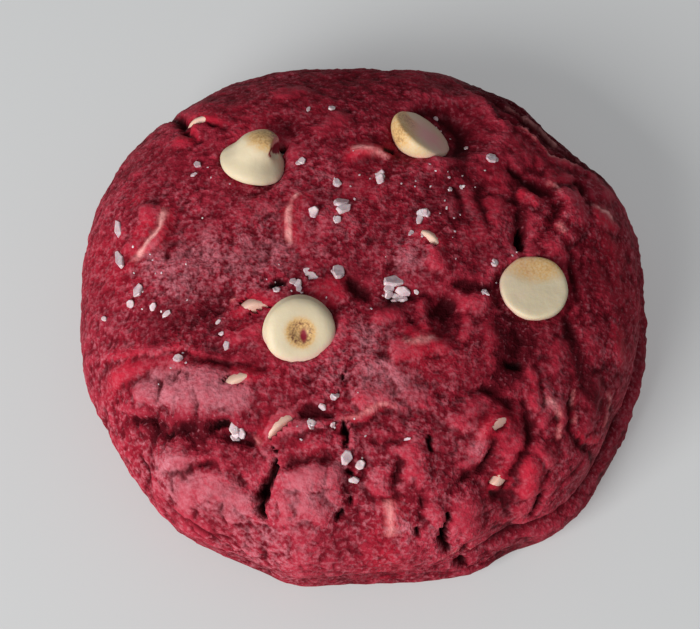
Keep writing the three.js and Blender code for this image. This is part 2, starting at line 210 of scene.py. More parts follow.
# Where they are toasted: [node, direction from the middle of the chip, half-angle in
# degrees, strength]
TOASTED = [
    ("chip_back_left", (0.2, 0.32, 0.92), 58, 0.52), ("chip_back_left", (0.75, 0.5, 0.45), 32, 0.66),
    ("chip_back", (-0.62, 0.3, 0.72), 60, 0.42), ("chip_back", (0.05, 0.6, 0.8), 34, 0.3),
    ("chip_back", (-0.25, -0.65, 0.7), 55, 0.22), ("chip_right", (0.1, 0.9, 0.5), 70, 0.42),
]
# Where dough has stained them, and where it has stuck to them, in the same way. On the face of
# chip_back the pink is partly painted red light thrown back from the dough, and in the hollow under
# chip_back_left's curl the marks are partly painted shade
STAINS_AND_PAINTED_LIGHT = [
    ("chip_back", (0.6, 0.42, 0.68), 70, 0.62), ("chip_back", (0.8, -0.1, 0.6), 56, 0.34),
    ("chip_back_left", (0.8, 0.1, 0.6), 36, 0.35), ("chip_back_left", (0.86, 0.3, 0.45), 26, 0.6),
]
CRUMBS_AND_CREVICE_SHADE = [
    ("chip_back_left", (0.76, -0.2, 0.6), 17, 1.25), ("chip_back_left", (0.93, 0.05, 0.36), 16, 1.3),
    ("chip_back", (0.2, 0.5, 0.85), 12, 0.7),
]
MARK_CORE = 0.35  # share of a mark's half-angle that has its full strength
MARK_LUMPS = 1.3 * MM
MARK_RAGGEDNESS = 0.1

# The chips of which only a sliver shows, or nothing but the skin stretched over them: [node,
# direction of the tip, shift in mm, how smeared with dough, half-width of the tear in mm,
# points along the tear]
BURIED_CHIPS = [
    ("chip_edge_back_left", (0.4, 0.7, -0.6), (1.5, -0.6, 0.9), 0.25, 0.85,
     [(-28.3, 28.6), (-26.2, 26.5), (-24.2, 24.6)]),
    ("chip_left_rim", (0.63, -0.27, -0.72), (0, 0, 0), 0.6, 0, []),
    ("chip_middle_rim", (-0.42, 0.1, -0.9), (0, 0, 0), 0.6, 0, []),
    ("chip_beside_front_left", (-0.2, 0.9, -0.35), (1.0, -1.6, 0.1), 0.5, 0.75,
     [(-18.2, -6.9), (-16.1, -7.6), (-14, -8.7)]),
    ("chip_left_shelf", (-0.3, 0.9, -0.3), (0.2, -1.2, 0.3), 0.12, 0.55,
     [(-19.8, -18.9), (-18.4, -19), (-17.1, -18.6)]),
    ("chip_front_shelf", (-0.59, 0.81, -0.1), (0, 0, 0), 0.5, 0.8,
     [(-13.4, -27.3), (-12.1, -26.3), (-10.7, -24.7)]),
    ("chip_middle_tip", (0.5, 0.6, -0.6), (-0.6, -0.9, 0.3), 0.1, 0.55,
     [(9, 4), (10, 3), (10.8, 2)]),
    ("chip_right_lump", (-0.6, 0.7, -0.3), (0.2, -1.6, 0.6), 0.6, 0.5,
     [(18.6, -25.5), (20.4, -24.2)]),
    ("chip_front_right", (0.6, -0.2, -0.7), (0.2, 0.3, -0.3), 0.55, 0.55,
     [(17.4, -31.8), (19, -32), (20.8, -32.3)]),
    ("chip_front", (0.9, 0.2, -0.3), (0, 0, 0), 0.6, 0, []),
    ("chip_front_streak", (0, 0.95, -0.2), (0, 0, 0), 0.6, 0, []),
    ("chip_back_streak", (-0.2, 0.9, -0.3), (0, 0, 0), 0.6, 0, []),
    ("chip_edge_right", (0.1, 0.75, -0.65), (0, 0, 0), 0.6, 0, []),
]

CURLED_CHIP = "chip_back_left"  # its tip has softened and curled over
CURL = np.array((0.9, 0.2, 0.0)) * MM
CURL_FROM = 0.5  # share of its height
CURL_GROWTH = 1.8
CURL_HOLLOW = (0.84, -0.08, 0.52)  # where it is hollow under the curl, seen from its middle
CURL_HOLLOW_DEPTH = 1.1 * MM
CURL_HOLLOW_EDGE = (0.86, 0.99)  # cosines of the angles at which it begins and is deepest
MELTED_CHIP = "chip_front_left"  # its tip has melted down to a dimple with a golden edge
MELTED_SHARE = 0.62  # of its height is left
# The melted top, in shares of the chip's height and radius
BUTTON_LOW = 0.3  # what lies lower has kept its form
BUTTON_RIM = 0.5
BUTTON_RISE = 0.36
DIMPLE_DEPTH = 0.17
DIMPLE_RADIUS = 0.24
GOLDEN_RADIUS = 0.27
GOLDEN_WIDTH = 0.14
GOLDEN_MIDDLE = 0.2
GOLDEN_EDGE_SHARE = 0.66
GOLDEN_MIDDLE_SHARE = 0.5
DIMPLE_CRUMB = np.array((0.4, -0.45, 0.0))  # a crumb of dough in it, in mm from its middle
DIMPLE_CRUMB_HALF = (0.6, 1.1)  # half its width and length in mm


def vertex_places(piece):
    places = np.empty(len(piece.data.vertices) * 3)
    piece.data.vertices.foreach_get("co", places)
    return places.reshape(-1, 3)


def move_vertices(piece, places):
    piece.data.vertices.foreach_set("co", np.ascontiguousarray(places).ravel())
    piece.data.update()


def paint(piece, name, values):
    """Keeps one number for each vertex, which the piece's material reads by name."""
    layer = piece.data.attributes.get(name) or piece.data.attributes.new(name, "FLOAT", "POINT")
    layer.data.foreach_set("value", np.clip(values, 0, 1).astype(np.float32))


def painted(piece, name):
    values = np.empty(len(piece.data.vertices), dtype=np.float32)
    piece.data.attributes[name].data.foreach_get("value", values)
    return values


def noise_at(places, size, seed):
    """Smooth noise from -1 to 1 whose lumps are about as wide as size."""
    shift = Vector((seed * 7.31, seed * -3.17, seed * 5.73))
    scaled = (places / size).tolist()
    return np.array([noise.noise(Vector(place) + shift) for place in scaled])


def layered_noise(places, layers):
    """The sum of some noises: [size of the lumps, height, seed]."""
    return sum(height * noise_at(places, size, seed) for size, height, seed in layers)


def smooth_step(values, low, high):
    share = np.clip((values - low) / (high - low), 0, 1)
    return share * share * (3 - 2 * share)


def bell(distance, width):
    """1 at no distance, about a third at the width, and next to nothing at twice the width."""
    return np.exp(-((distance / width) ** 2))


def apply_all_modifiers(piece):
    bpy.context.view_layer.objects.active = piece
    for modifier in list(piece.modifiers):
        bpy.ops.object.modifier_apply(modifier=modifier.name)


def unit(direction):
    return np.array(direction) / np.linalg.norm(direction)


def seen_from_middle(piece):
    """The direction of each vertex from the middle of the piece."""
    places = vertex_places(piece)
    outward = places - places.mean(axis=0)
    return outward / np.linalg.norm(outward, axis=1)[:, None]


def mould_chip(name, rings, height):
    """A smooth upright drop: a disc drawn up ring by ring to its tip."""
    deselect_all()
    first_share = rings[0][0]
    bpy.ops.mesh.primitive_circle_add(
        vertices=CHIP_SIDES, radius=CHIP_RADIUS * first_share, fill_type="NGON"
    )
    chip = bpy.context.object
    chip.name = name
    bpy.ops.object.mode_set(mode="EDIT")
    bpy.ops.mesh.select_all(action="SELECT")
    for (below, low), (above, high) in zip(rings, rings[1:]):
        rise = (high - low) * height
        bpy.ops.mesh.extrude_region_move(TRANSFORM_OT_translate={"value": (0, 0, rise)})
        bpy.ops.transform.resize(value=(above / below, above / below, 1))
    bpy.ops.mesh.select_all(action="SELECT")
    bpy.ops.mesh.normals_make_consistent(inside=False)
    bpy.ops.object.mode_set(mode="OBJECT")
    chip.modifiers.new("rounded", "SUBSURF").levels = CHIP_ROUNDINGS
    apply_all_modifiers(chip)
    return chip


def set_in_place(chip, node, tip, shift):
    """Turns the chip to its tip and fits it to the box of its solid, but for a small shift."""
    turned = Vector((0, 0, 1)).rotation_difference(Vector(tip).normalized()).to_matrix()
    places = vertex_places(chip) @ np.array(turned).T
    low, high = (np.array(corner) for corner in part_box(node))
    size = places.max(axis=0) - places.min(axis=0)
    middle = (places.max(axis=0) + places.min(axis=0)) / 2
    scale = np.linalg.norm(high - low) / np.linalg.norm(size)
    move_vertices(chip, (places - middle) * scale + (high + low) / 2 + np.array(shift) * MM)


def about_axis(chip, tip):
    """Each vertex's share of the chip's height, and its offset from the chip's axis."""
    axis = unit(tip)
    places = vertex_places(chip)
    height = places @ axis
    share = (height - height.min()) / np.ptp(height)
    in_lower_part = np.abs(share - 0.2) < 0.1
    offset = places - places[in_lower_part].mean(axis=0)
    return share, offset - (offset @ axis)[:, None] * axis


def curl_tip(chip, tip):
    """Bends the upper part of the drop over sideways, with a hollow under the curl."""
    share, _ = about_axis(chip, tip)
    rise = np.clip((share - CURL_FROM) / (1 - CURL_FROM), 0, 1)
    outward = seen_from_middle(chip)
    pressed = CURL_HOLLOW_DEPTH * smooth_step(outward @ unit(CURL_HOLLOW), *CURL_HOLLOW_EDGE)
    bent = (rise**CURL_GROWTH)[:, None] * CURL
    move_vertices(chip, vertex_places(chip) + bent - pressed[:, None] * outward)


def melt_tip(chip, tip):
    """Evens the drop out to a low button with a dimple; says where it is golden and crumbed."""
    axis = unit(tip)
    share, offset = about_axis(chip, tip)
    places = vertex_places(chip)
    across = np.linalg.norm(offset, axis=1) / CHIP_RADIUS
    button = BUTTON_RIM + BUTTON_RISE * (1 - across**8) - DIMPLE_DEPTH * bell(across, DIMPLE_RADIUS)
    lift = np.where(share > BUTTON_LOW, button - share, 0) * np.ptp(places @ axis)
    move_vertices(chip, places + lift[:, None] * axis)
    top = smooth_step(share, 0.25, 0.4)
    golden = GOLDEN_EDGE_SHARE * bell(across - GOLDEN_RADIUS, GOLDEN_WIDTH)
    golden += GOLDEN_MIDDLE_SHARE * bell(across, GOLDEN_MIDDLE)
    away = offset / MM - DIMPLE_CRUMB
    half_width, half_length = DIMPLE_CRUMB_HALF
    across_crumb = np.hypot(away[:, 0] / half_width, np.hypot(away[:, 1], away[:, 2]) / half_length)
    return top * golden, top * (1 - smooth_step(across_crumb, 0.6, 1.15))


def soften(chip):
    """Makes the chip a little uneven all over, as melting does."""
    places = vertex_places(chip)
    rise = layered_noise(places, CHIP_UNEVENNESS)
    move_vertices(chip, places + seen_from_middle(chip) * rise[:, None])


def around(chip, node, marks):
    """The sum of the soft marks of one chip, each seen from the chip's middle."""
    outward = seen_from_middle(chip)
    ragged = noise_at(vertex_places(chip), MARK_LUMPS, 5) * MARK_RAGGEDNESS
    total = np.zeros(len(outward))
    for on, direction, half_angle, strength in marks:
        if on == node:
            edge = math.cos(math.radians(half_angle))
            core = math.cos(math.radians(half_angle * MARK_CORE))
            total += strength * smooth_step(outward @ unit(direction) + ragged, edge, core)
    return total


def computed(tree, operation, *values, **settings):
    """Arithmetic on outputs of nodes and on numbers."""
    node = add_node(tree, "Math", dict(enumerate(values)), operation=operation, **settings)
    return node.outputs[0]


def grain_group():
    """Fine speckle at a size in mm, from 0 to 1, which every material here uses."""
    group = bpy.data.node_groups.new("fine_grain", "ShaderNodeTree")
    for name, start in (("Size", 1.0), ("Detail", 2.0), ("Contrast", 2.0)):
        socket = group.interface.new_socket(name, in_out="INPUT", socket_type="NodeSocketFloat")
        socket.default_value = start
    group.interface.new_socket("Grain", in_out="OUTPUT", socket_type="NodeSocketFloat")
    given = group.nodes.new("NodeGroupInput")
    place = add_node(group, "TexCoord").outputs["Object"]
    fineness = computed(group, "DIVIDE", 1 / MM, given.outputs["Size"])
    values = {"Vector": place, "Scale": fineness, "Detail": given.outputs["Detail"]}
    speckle = add_node(group, "TexNoise", values).outputs["Fac"]
    centred = computed(group, "SUBTRACT", speckle, 0.5)
    contrast = given.outputs["Contrast"]
    stretched = computed(group, "MULTIPLY_ADD", centred, contrast, 0.5, use_clamp=True)
    set_inputs(group.nodes.new("NodeGroupOutput"), {"Grain": stretched})
    return group


fine_grain = grain_group()


def grain(tree, size, detail, contrast):
    values = {"Size": size, "Detail": detail, "Contrast": contrast}
    return add_node(tree, "Group", values, node_tree=fine_grain).outputs["Grain"]


def read_attribute(tree, name):
    return add_node(tree, "Attribute", attribute_name=name).outputs["Fac"]


def blended(tree, share, under, over):
    """Colour over on top of colour under, by share."""
    values = {"Factor": share, "A": under, "B": over}
    return add_node(tree, "Mix", values, data_type="RGBA").outputs["Result"]


def bumps(tree, height, strength, depth):
    values = {"Height": height, "Strength": strength, "Distance": depth}
    return add_node(tree, "Bump", values).outputs["Normal"]


def white_chocolate():
    """Cream that browns in specks where it is toasted and reddens where dough has smeared it."""
    material, shader, tree = plain_material("white_chocolate", CHIP_CREAM, CHIP_ROUGHNESS)
    speckle = spread(tree, grain(tree, size=0.35, detail=1, contrast=3.0), 0, 1, 0.65, 1.35)
    toasted = computed(tree, "MULTIPLY", read_attribute(tree, "toasted"), speckle)
    colour = blended(tree, spread(tree, toasted, 0.02, 0.45), CHIP_CREAM, CHIP_GOLDEN)
    colour = blended(tree, spread(tree, toasted, 0.45, 1.0), colour, CHIP_BROWN)
    # the smear and the crumbs also carry painted red light on chip_back and painted shade under
    # chip_back_left's curl
    colour = blended(tree, read_attribute(tree, "smeared"), colour, CHIP_SMEARED)
    colour = blended(tree, read_attribute(tree, "crumbed"), colour, CRUMB_RED)
    set_inputs(shader, {
        "Base Color": colour,
        "Normal": bumps(tree, grain(tree, size=0.8, detail=3, contrast=2.0), *CHIP_BUMPS),
        "Specular IOR Level": CHIP_GLOSS,
        "Subsurface Weight": CHIP_GLOW,
        "Subsurface Radius": CHIP_GLOW_REACH,
        "Subsurface Scale": CHIP_GLOW_DEPTH,
    })
    return material


def shade_smooth(piece):
    deselect_all()
    piece.select_set(True)
    bpy.ops.object.shade_smooth()


def finish(piece, material, node):
    """Gives a piece its material, hangs it under the root body, and hides the solid it stands for."""
    piece.data.materials.append(material)
    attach(piece, "root")
    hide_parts(node)


chocolate = white_chocolate()
whole_chips = []
for node, tip, shift, _, _ in WHOLE_CHIPS:
    melted = node == MELTED_CHIP
    rings = TALL_RINGS if node == CURLED_CHIP else DROP_RINGS
    chip = mould_chip("white_" + node, rings, CHIP_HEIGHT * (MELTED_SHARE if melted else 1))
    set_in_place(chip, node, tip, shift)
    toasted = around(chip, node, TOASTED)
    stains_and_painted_light = around(chip, node, STAINS_AND_PAINTED_LIGHT)
    crumbed = around(chip, node, CRUMBS_AND_CREVICE_SHADE)
    if node == CURLED_CHIP:
        curl_tip(chip, tip)
    if melted:
        toasted, crumbed = melt_tip(chip, tip)
    paint(chip, "toasted", toasted)
    paint(chip, "smeared", stains_and_painted_light)
    paint(chip, "crumbed", crumbed)
    soften(chip)
    shade_smooth(chip)
    finish(chip, chocolate, node)
    whole_chips.append(chip)
buried_chips = []
for node, tip, shift, smeared, _, _ in BURIED_CHIPS:
    chip = mould_chip("white_" + node, DROP_RINGS, CHIP_HEIGHT)
    set_in_place(chip, node, tip, shift)
    soften(chip)
    paint(chip, "smeared", np.full(len(chip.data.vertices), smeared))
    shade_smooth(chip)
    finish(chip, chocolate, node)
    buried_chips.append(chip)


# ---------------------------------------------------------------------------
# The dough: one baked piece, a domed cap that has slumped over a low foot. It
# is rounded from a block, drawn out to the cookie's outline, and then swollen,
# creased, shelved, cracked and pitted by strokes laid out in plan, in mm.
# ---------------------------------------------------------------------------
DOUGH_CUTS = 125  # cuts across each face of the block
DOME_STEPS, SIDE_STEPS, BASE_STEPS = 240, 90, 40  # along the profile
BASE_WEIGHT = 0.06  # share of the mesh's fineness that the flat underside gets
dough_low, dough_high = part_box("dough")
OUTLINE_ROOM = 0.35  # what the bulges of the outline add to the radius
MEAN_RADIUS = (dough_high.x - dough_low.x) / 2 / MM - OUTLINE_ROOM
COOKIE_HEIGHT = 29.0
LIP_HEIGHT = 11.0
CAP_FROM = 6.0  # height at which the foot begins to turn into the cap
DOME_POWER = 2.6
FOOT_SIDE = math.radians(-5)  # the direction in which the foot shows most
FOOT_SHOWS = 1.9
FOOT_HIDES = 1.2
FOOT_EDGE = 2.6  # height up to which the foot's edge is rounded
FOOT_EDGE_SHARE = 0.075  # of the radius, which the rounding takes off at the very bottom
FOOT_CREASE = (0.006, 8, 1.1)  # [depth as a share of the radius, height, half-width]
LIP_GROOVE = 1.3  # how far the dough is drawn in under the lip where the foot shows
LEAST_GROOVE = 0.3  # share of it that is left where the cap hides the foot
GROOVE_HEIGHT = 9.0
# How the groove wanders up and down: [waves per turn, mm, turn in degrees]
GROOVE_WAVES = [(3, 0.5, 40), (5, 0.35, 100), (11, 0.2, 10)]
# Slow waves of the outline: [waves per turn, cosine part, sine part]
OUTLINE_WAVES = [(2, 0.83, -0.44), (3, 0.10, 0.25), (4, -0.50, -0.10), (5, 0.0, 0.16)]

# Small bays and bulges of the outline: [direction and half-width in degrees, mm outwards]
OUTLINE_BULGES = [
    (20, 11, 1.7), (52, 6, 0.8), (92, 13, -1.2), (175, 14, -0.7), (230, 8, 0.6), (257, 7, 1.2),
    (301, 6, -1.2), (332, 9, -0.8),
]

# Swellings and hollows: [x, y, radius, height], a hollow having a negative height
SWELLINGS = [
    (-24, -20.5, 8, 1.3), (-15, -20, 6, 0.9), (-22, -33, 8, 1.0), (-7.5, -34, 6, 0.8), (6.5, -30, 6.5, 0.7),
    (30.5, 9, 6.5, 0.8), (9.5, 2, 5, 0.9), (33.6, -20.5, 4, 0.5), (-33, 9, 5, 0.8), (-6.5, 6.8, 5, 0.7),
    (7.5, -17, 6, 0.6), (-4, 34, 8, -0.6), (-24, 28, 6, 0.9), (20, 24, 8, 0.7), (26.5, -30, 5, 0.4),
    (24, 4.5, 2.6, -1.3), (6, 19.5, 4, -0.9), (-13.5, 19.3, 3, -0.6), (3, -7.5, 5, -0.6),
    (12, -9.5, 4, -0.8), (-22, -8, 7, -0.9), (17, 12, 6, -0.4), (-12, 4, 9, -0.5), (38.5, 19.5, 6, 0.6),
    (17, -41.5, 4, -0.6), (17.6, -26.2, 6, 1.0), (38.5, -2, 5, 0.4), (-30, -12.6, 3.4, 0.6),
    (-36, -14, 3, 0.4),
]

# Lumps: [half-width, height, how vivid its red is, points along its middle]
LUMPS = [
    (3, 0.66, 0.15, [(15.5, -29.4), (16.9, -27.8)]), (2.8, 0.62, 0.25, [(14, -24.8), (15.6, -23.8)]),
    (2.8, 0.57, 0.35, [(20.8, -26.4), (21.8, -28.2)]), (1.9, 0.32, 0.2, [(17.8, -23), (19, -23.6)]),
    (2.1, 0.72, 0.9, [(24, -30.2), (24.2, -32.6)]), (1.6, 0.32, 0.35, [(23, -34.6), (24, -35.4)]),
    (2, 0.46, 0.4, [(26, -27.8), (26.8, -28.2)]),
    (1.5, 0.46, 0.4, [(24.3, -17.4), (24.8, -19.6), (25.3, -21.8)]),
    (0.9, 0.37, 0.2, [(27, -19.4), (28.4, -20.9), (29.3, -22.6), (28.6, -25.2)]),
    (1.1, 0.32, 0.15, [(27.2, -21.6), (26.5, -24.2)]), (2.6, 0.46, 0.05, [(34.6, -17), (33.2, -22.4)]),
    (0.9, 0.27, 0.9, [(31.8, -23.8), (33.4, -24.5), (35, -23.6)]),
    (2.1, 0.32, 0.2, [(19.6, -36.2), (21.6, -35.6)]), (2.9, 0.46, 0.25, [(14.5, -35.8), (15.6, -38.8)]),
    (1.5, 0.5, 0.25, [(11, -38.4), (10.2, -36.6)]), (2.8, 0.72, 0.3, [(7, -29.4), (7.4, -31.9)]),
    (2.6, 0.65, 0.2, [(2.2, -32.4), (2.4, -34.2)]), (1.8, 0.43, 0.15, [(-3.8, -32.8), (-4.3, -34.6)]),
    (2, 0.36, 0.1, [(-9.4, -32.8), (-6.4, -32.8)]), (1.1, 0.36, 0.15, [(-11.6, -35.2), (-11.2, -38.2)]),
    (2.2, 0.36, 0.1, [(-8.2, -36.6), (-6, -37.4)]), (2.1, 0.5, 0.35, [(0.4, -21.6), (2.6, -22)]),
    (2.4, 0.58, 0.05, [(7.2, -21.2), (8.8, -21.6)]), (3.1, 0.88, 0.9, [(-6, -6), (-4.2, -5.4)]),
    (2.5, 0.72, 0.4, [(2.6, -9.3), (4, -9)]), (1.2, 0.65, 0.4, [(8.3, -7), (8.8, -9), (9.2, -10.8)]),
    (2.1, 0.33, 0.4, [(15.4, -7.2), (17.4, -6.8)]), (1.5, 0.29, 0.35, [(18.7, -10.8), (18.8, -15.2)]),
    (1.2, 0.26, 0.3, [(15.5, -9.8), (15, -12.2)]),
    (2.1, 0.65, 0.35, [(5.4, -14.6), (8, -14.4), (11, -13.9)]),
    (1.9, 0.58, 0.35, [(10.6, 1.4), (11, -1.6)]), (2.8, 0.26, 0.25, [(16, 4), (17.6, 4.8)]),
    (3.4, 0.36, 0.2, [(24.2, 21.8), (26, 20.2)]), (1.7, 0.95, 1, [(24.4, 11.7), (26, 11.3)]),
    (2.1, 0.49, 0.25, [(28.8, 16.2), (31.9, 16.4)]), (3, 0.53, 0.2, [(31.8, 12.6), (32.2, 8.4)]),
    (2, 0.33, 0.15, [(30.4, 7.2), (30.6, 5.2)]), (3, 0.36, 0.1, [(36.5, 19.2), (38, 16.4)]),
    (1.6, 0.33, 0.3, [(28, 3.7), (29.2, 2.8)]), (1.1, 0.29, 0.1, [(25.6, 3.4), (25.7, 1.4)]),
    (2.4, 0.29, 0.3, [(19.6, 16.6), (20.4, 13)]), (2, 0.29, 0.3, [(20.2, 10.2), (19.8, 7.8)]),
    (1.6, 0.22, 0.25, [(17.2, 9.4), (16, 11.4)]), (1.8, 0.34, 0.9, [(36.3, 10.2), (38.6, 10)]),
    (2.8, 0.26, 0.2, [(38.4, 5.6), (39, 1.6)]), (2.5, 0.22, 0.15, [(35.4, 3), (36, -2)]),
    (2.2, 0.29, 0.3, [(38.2, -8.4), (38.8, -11.6)]), (1.9, 0.26, 0.2, [(33.8, -9.6), (34.4, -13.2)]),
    (1.8, 0.32, 0.2, [(28.6, -12.4), (28, -15.4)]), (2.5, 0.5, 0.4, [(-18.8, -12.2), (-16.6, -11.4)]),
    (1.9, 0.36, 0.25, [(-32.2, 9.6), (-33, 7), (-35.2, 5)]),
    (2.5, 0.43, 0, [(-32.4, -19.3), (-31.5, -19.7)]), (2.9, 0.43, 0, [(-27.9, -20), (-25.9, -20.5)]),
    (3.4, 0.43, 0, [(-22.4, -20.2), (-19.6, -20.6)]), (2.5, 0.36, 0, [(-29, -28.3), (-26.4, -28.4)]),
    (3, 0.43, 0, [(-25.6, -33.2), (-21, -32.6)]), (2.5, 0.43, 0, [(-18.8, -34.2), (-17, -35.2)]),
    (2.0, 0.3, 0.3, [(-36.6, -15.6), (-31, -14.9), (-25, -15.8), (-21, -17)]),
    (2.2, 0.65, 0.9, [(-28.1, 23.2), (-26.8, 23.8)]), (2.5, 0.43, 0.25, [(-12.4, 31.4), (-10, 31.8)]),
    (2.8, 0.36, 0.15, [(-1, 12.6), (2, 11.6)]), (2.5, 0.36, 0.15, [(12, 16.4), (12.6, 20)]),
    (1.3, 0.5, 0.2, [(-33, -23.4), (-31.6, -23.8)]), (1.1, 0.45, 0.3, [(-28.6, -24.6), (-27.4, -24.4)]),
    (1.2, 0.5, 0.1, [(-24.6, -25.6), (-23.4, -25.2)]), (1.1, 0.4, 0.2, [(-20.6, -25.8), (-19.6, -26.4)]),
    (2.8, 0.36, 0.15, [(-18, 8), (-15, 9.4)]), (2.5, 0.36, 0.15, [(-6, 23), (-3.6, 25)]),
]

# Shelves: [step, reach, points]; the dough on the left of the line stands higher
SHELVES = [
    (0.55, 5, [(-38.0, -18.8), (-35.2, -20.9), (-29.9, -23.4), (-24.9, -24.5), (-19.8, -25), (-14, -27)]),
    (0.5, 2.5, [(-41, -13.6), (-36.9, -12.9), (-32.1, -13.6), (-26, -14), (-22.5, -15.5), (-17, -16.4)]),
    (0.4, 3, [(-11.5, -27.3), (-9.6, -27), (-3.5, -25.5), (6, -24)]),
    (0.6, 4, [(-29.1, 30), (-28.4, 27.6), (-27.1, 24.9), (-25.3, 22.6)]),
    (1.2, 3.5, [(37.5, 18.4), (34, 20.5), (31.8, 20.6), (29.8, 21.2), (28.6, 22.4), (27.1, 24),
        (25.2, 25.4), (23.2, 26.3), (21.3, 27.7), (19.4, 30.5), (16.6, 34.5), (13.2, 37.8)]),
    (0.9, 1.6, [(39, 19.4), (34.6, 22.6), (31.4, 24.2), (28.6, 26.8), (25.4, 29.2), (22.4, 31.2),
        (20, 34.4)]),
    (0.45, 2, [(-28.7, -33.7), (-24.3, -37.2), (-19.3, -39.7), (-15.3, -41.2), (-10.5, -42.4)]),
]

# Plates of whole, floury skin that stand a little proud, pink partly from flour and partly from
# painted sheen: [rise, flour and painted sheen, points of the edge, taken anticlockwise]
PLATES = [
    (0.3, 0.5, [(-34.6, -19.2), (-30.4, -21.4), (-25.8, -22.8), (-22.4, -24), (-17.9, -24.6),
        (-15.6, -22.6), (-16, -19.8), (-19, -18), (-25, -15.8), (-30, -15.8), (-33.3, -17)]),
    (0.3, 0.38, [(-30.4, -28.3), (-29.5, -32), (-26.5, -35), (-22.6, -36.6), (-19, -37.4), (-15.2, -37),
        (-15.1, -34.6), (-17.9, -32.2), (-22.6, -30.8), (-25, -28.3), (-28, -27.2)]),
    (0.35, 0.22, [(-12.3, -37.5), (-7.6, -38.8), (-3.6, -38.4), (-2.7, -34), (-3.2, -31.4), (-6.3, -30.6),
        (-10.2, -30.6), (-12.4, -32)]),
    (0.3, 0.3, [(-12, -30.4), (-12, -28), (-8.5, -27.2), (-4, -26.2), (-3.2, -29.6), (-8, -30)]),
    (0.25, 0.25, [(-1.6, -17.4), (-2.4, -21.6), (1.5, -24), (5.5, -23), (6, -18.6), (2.5, -15.8)]),
]
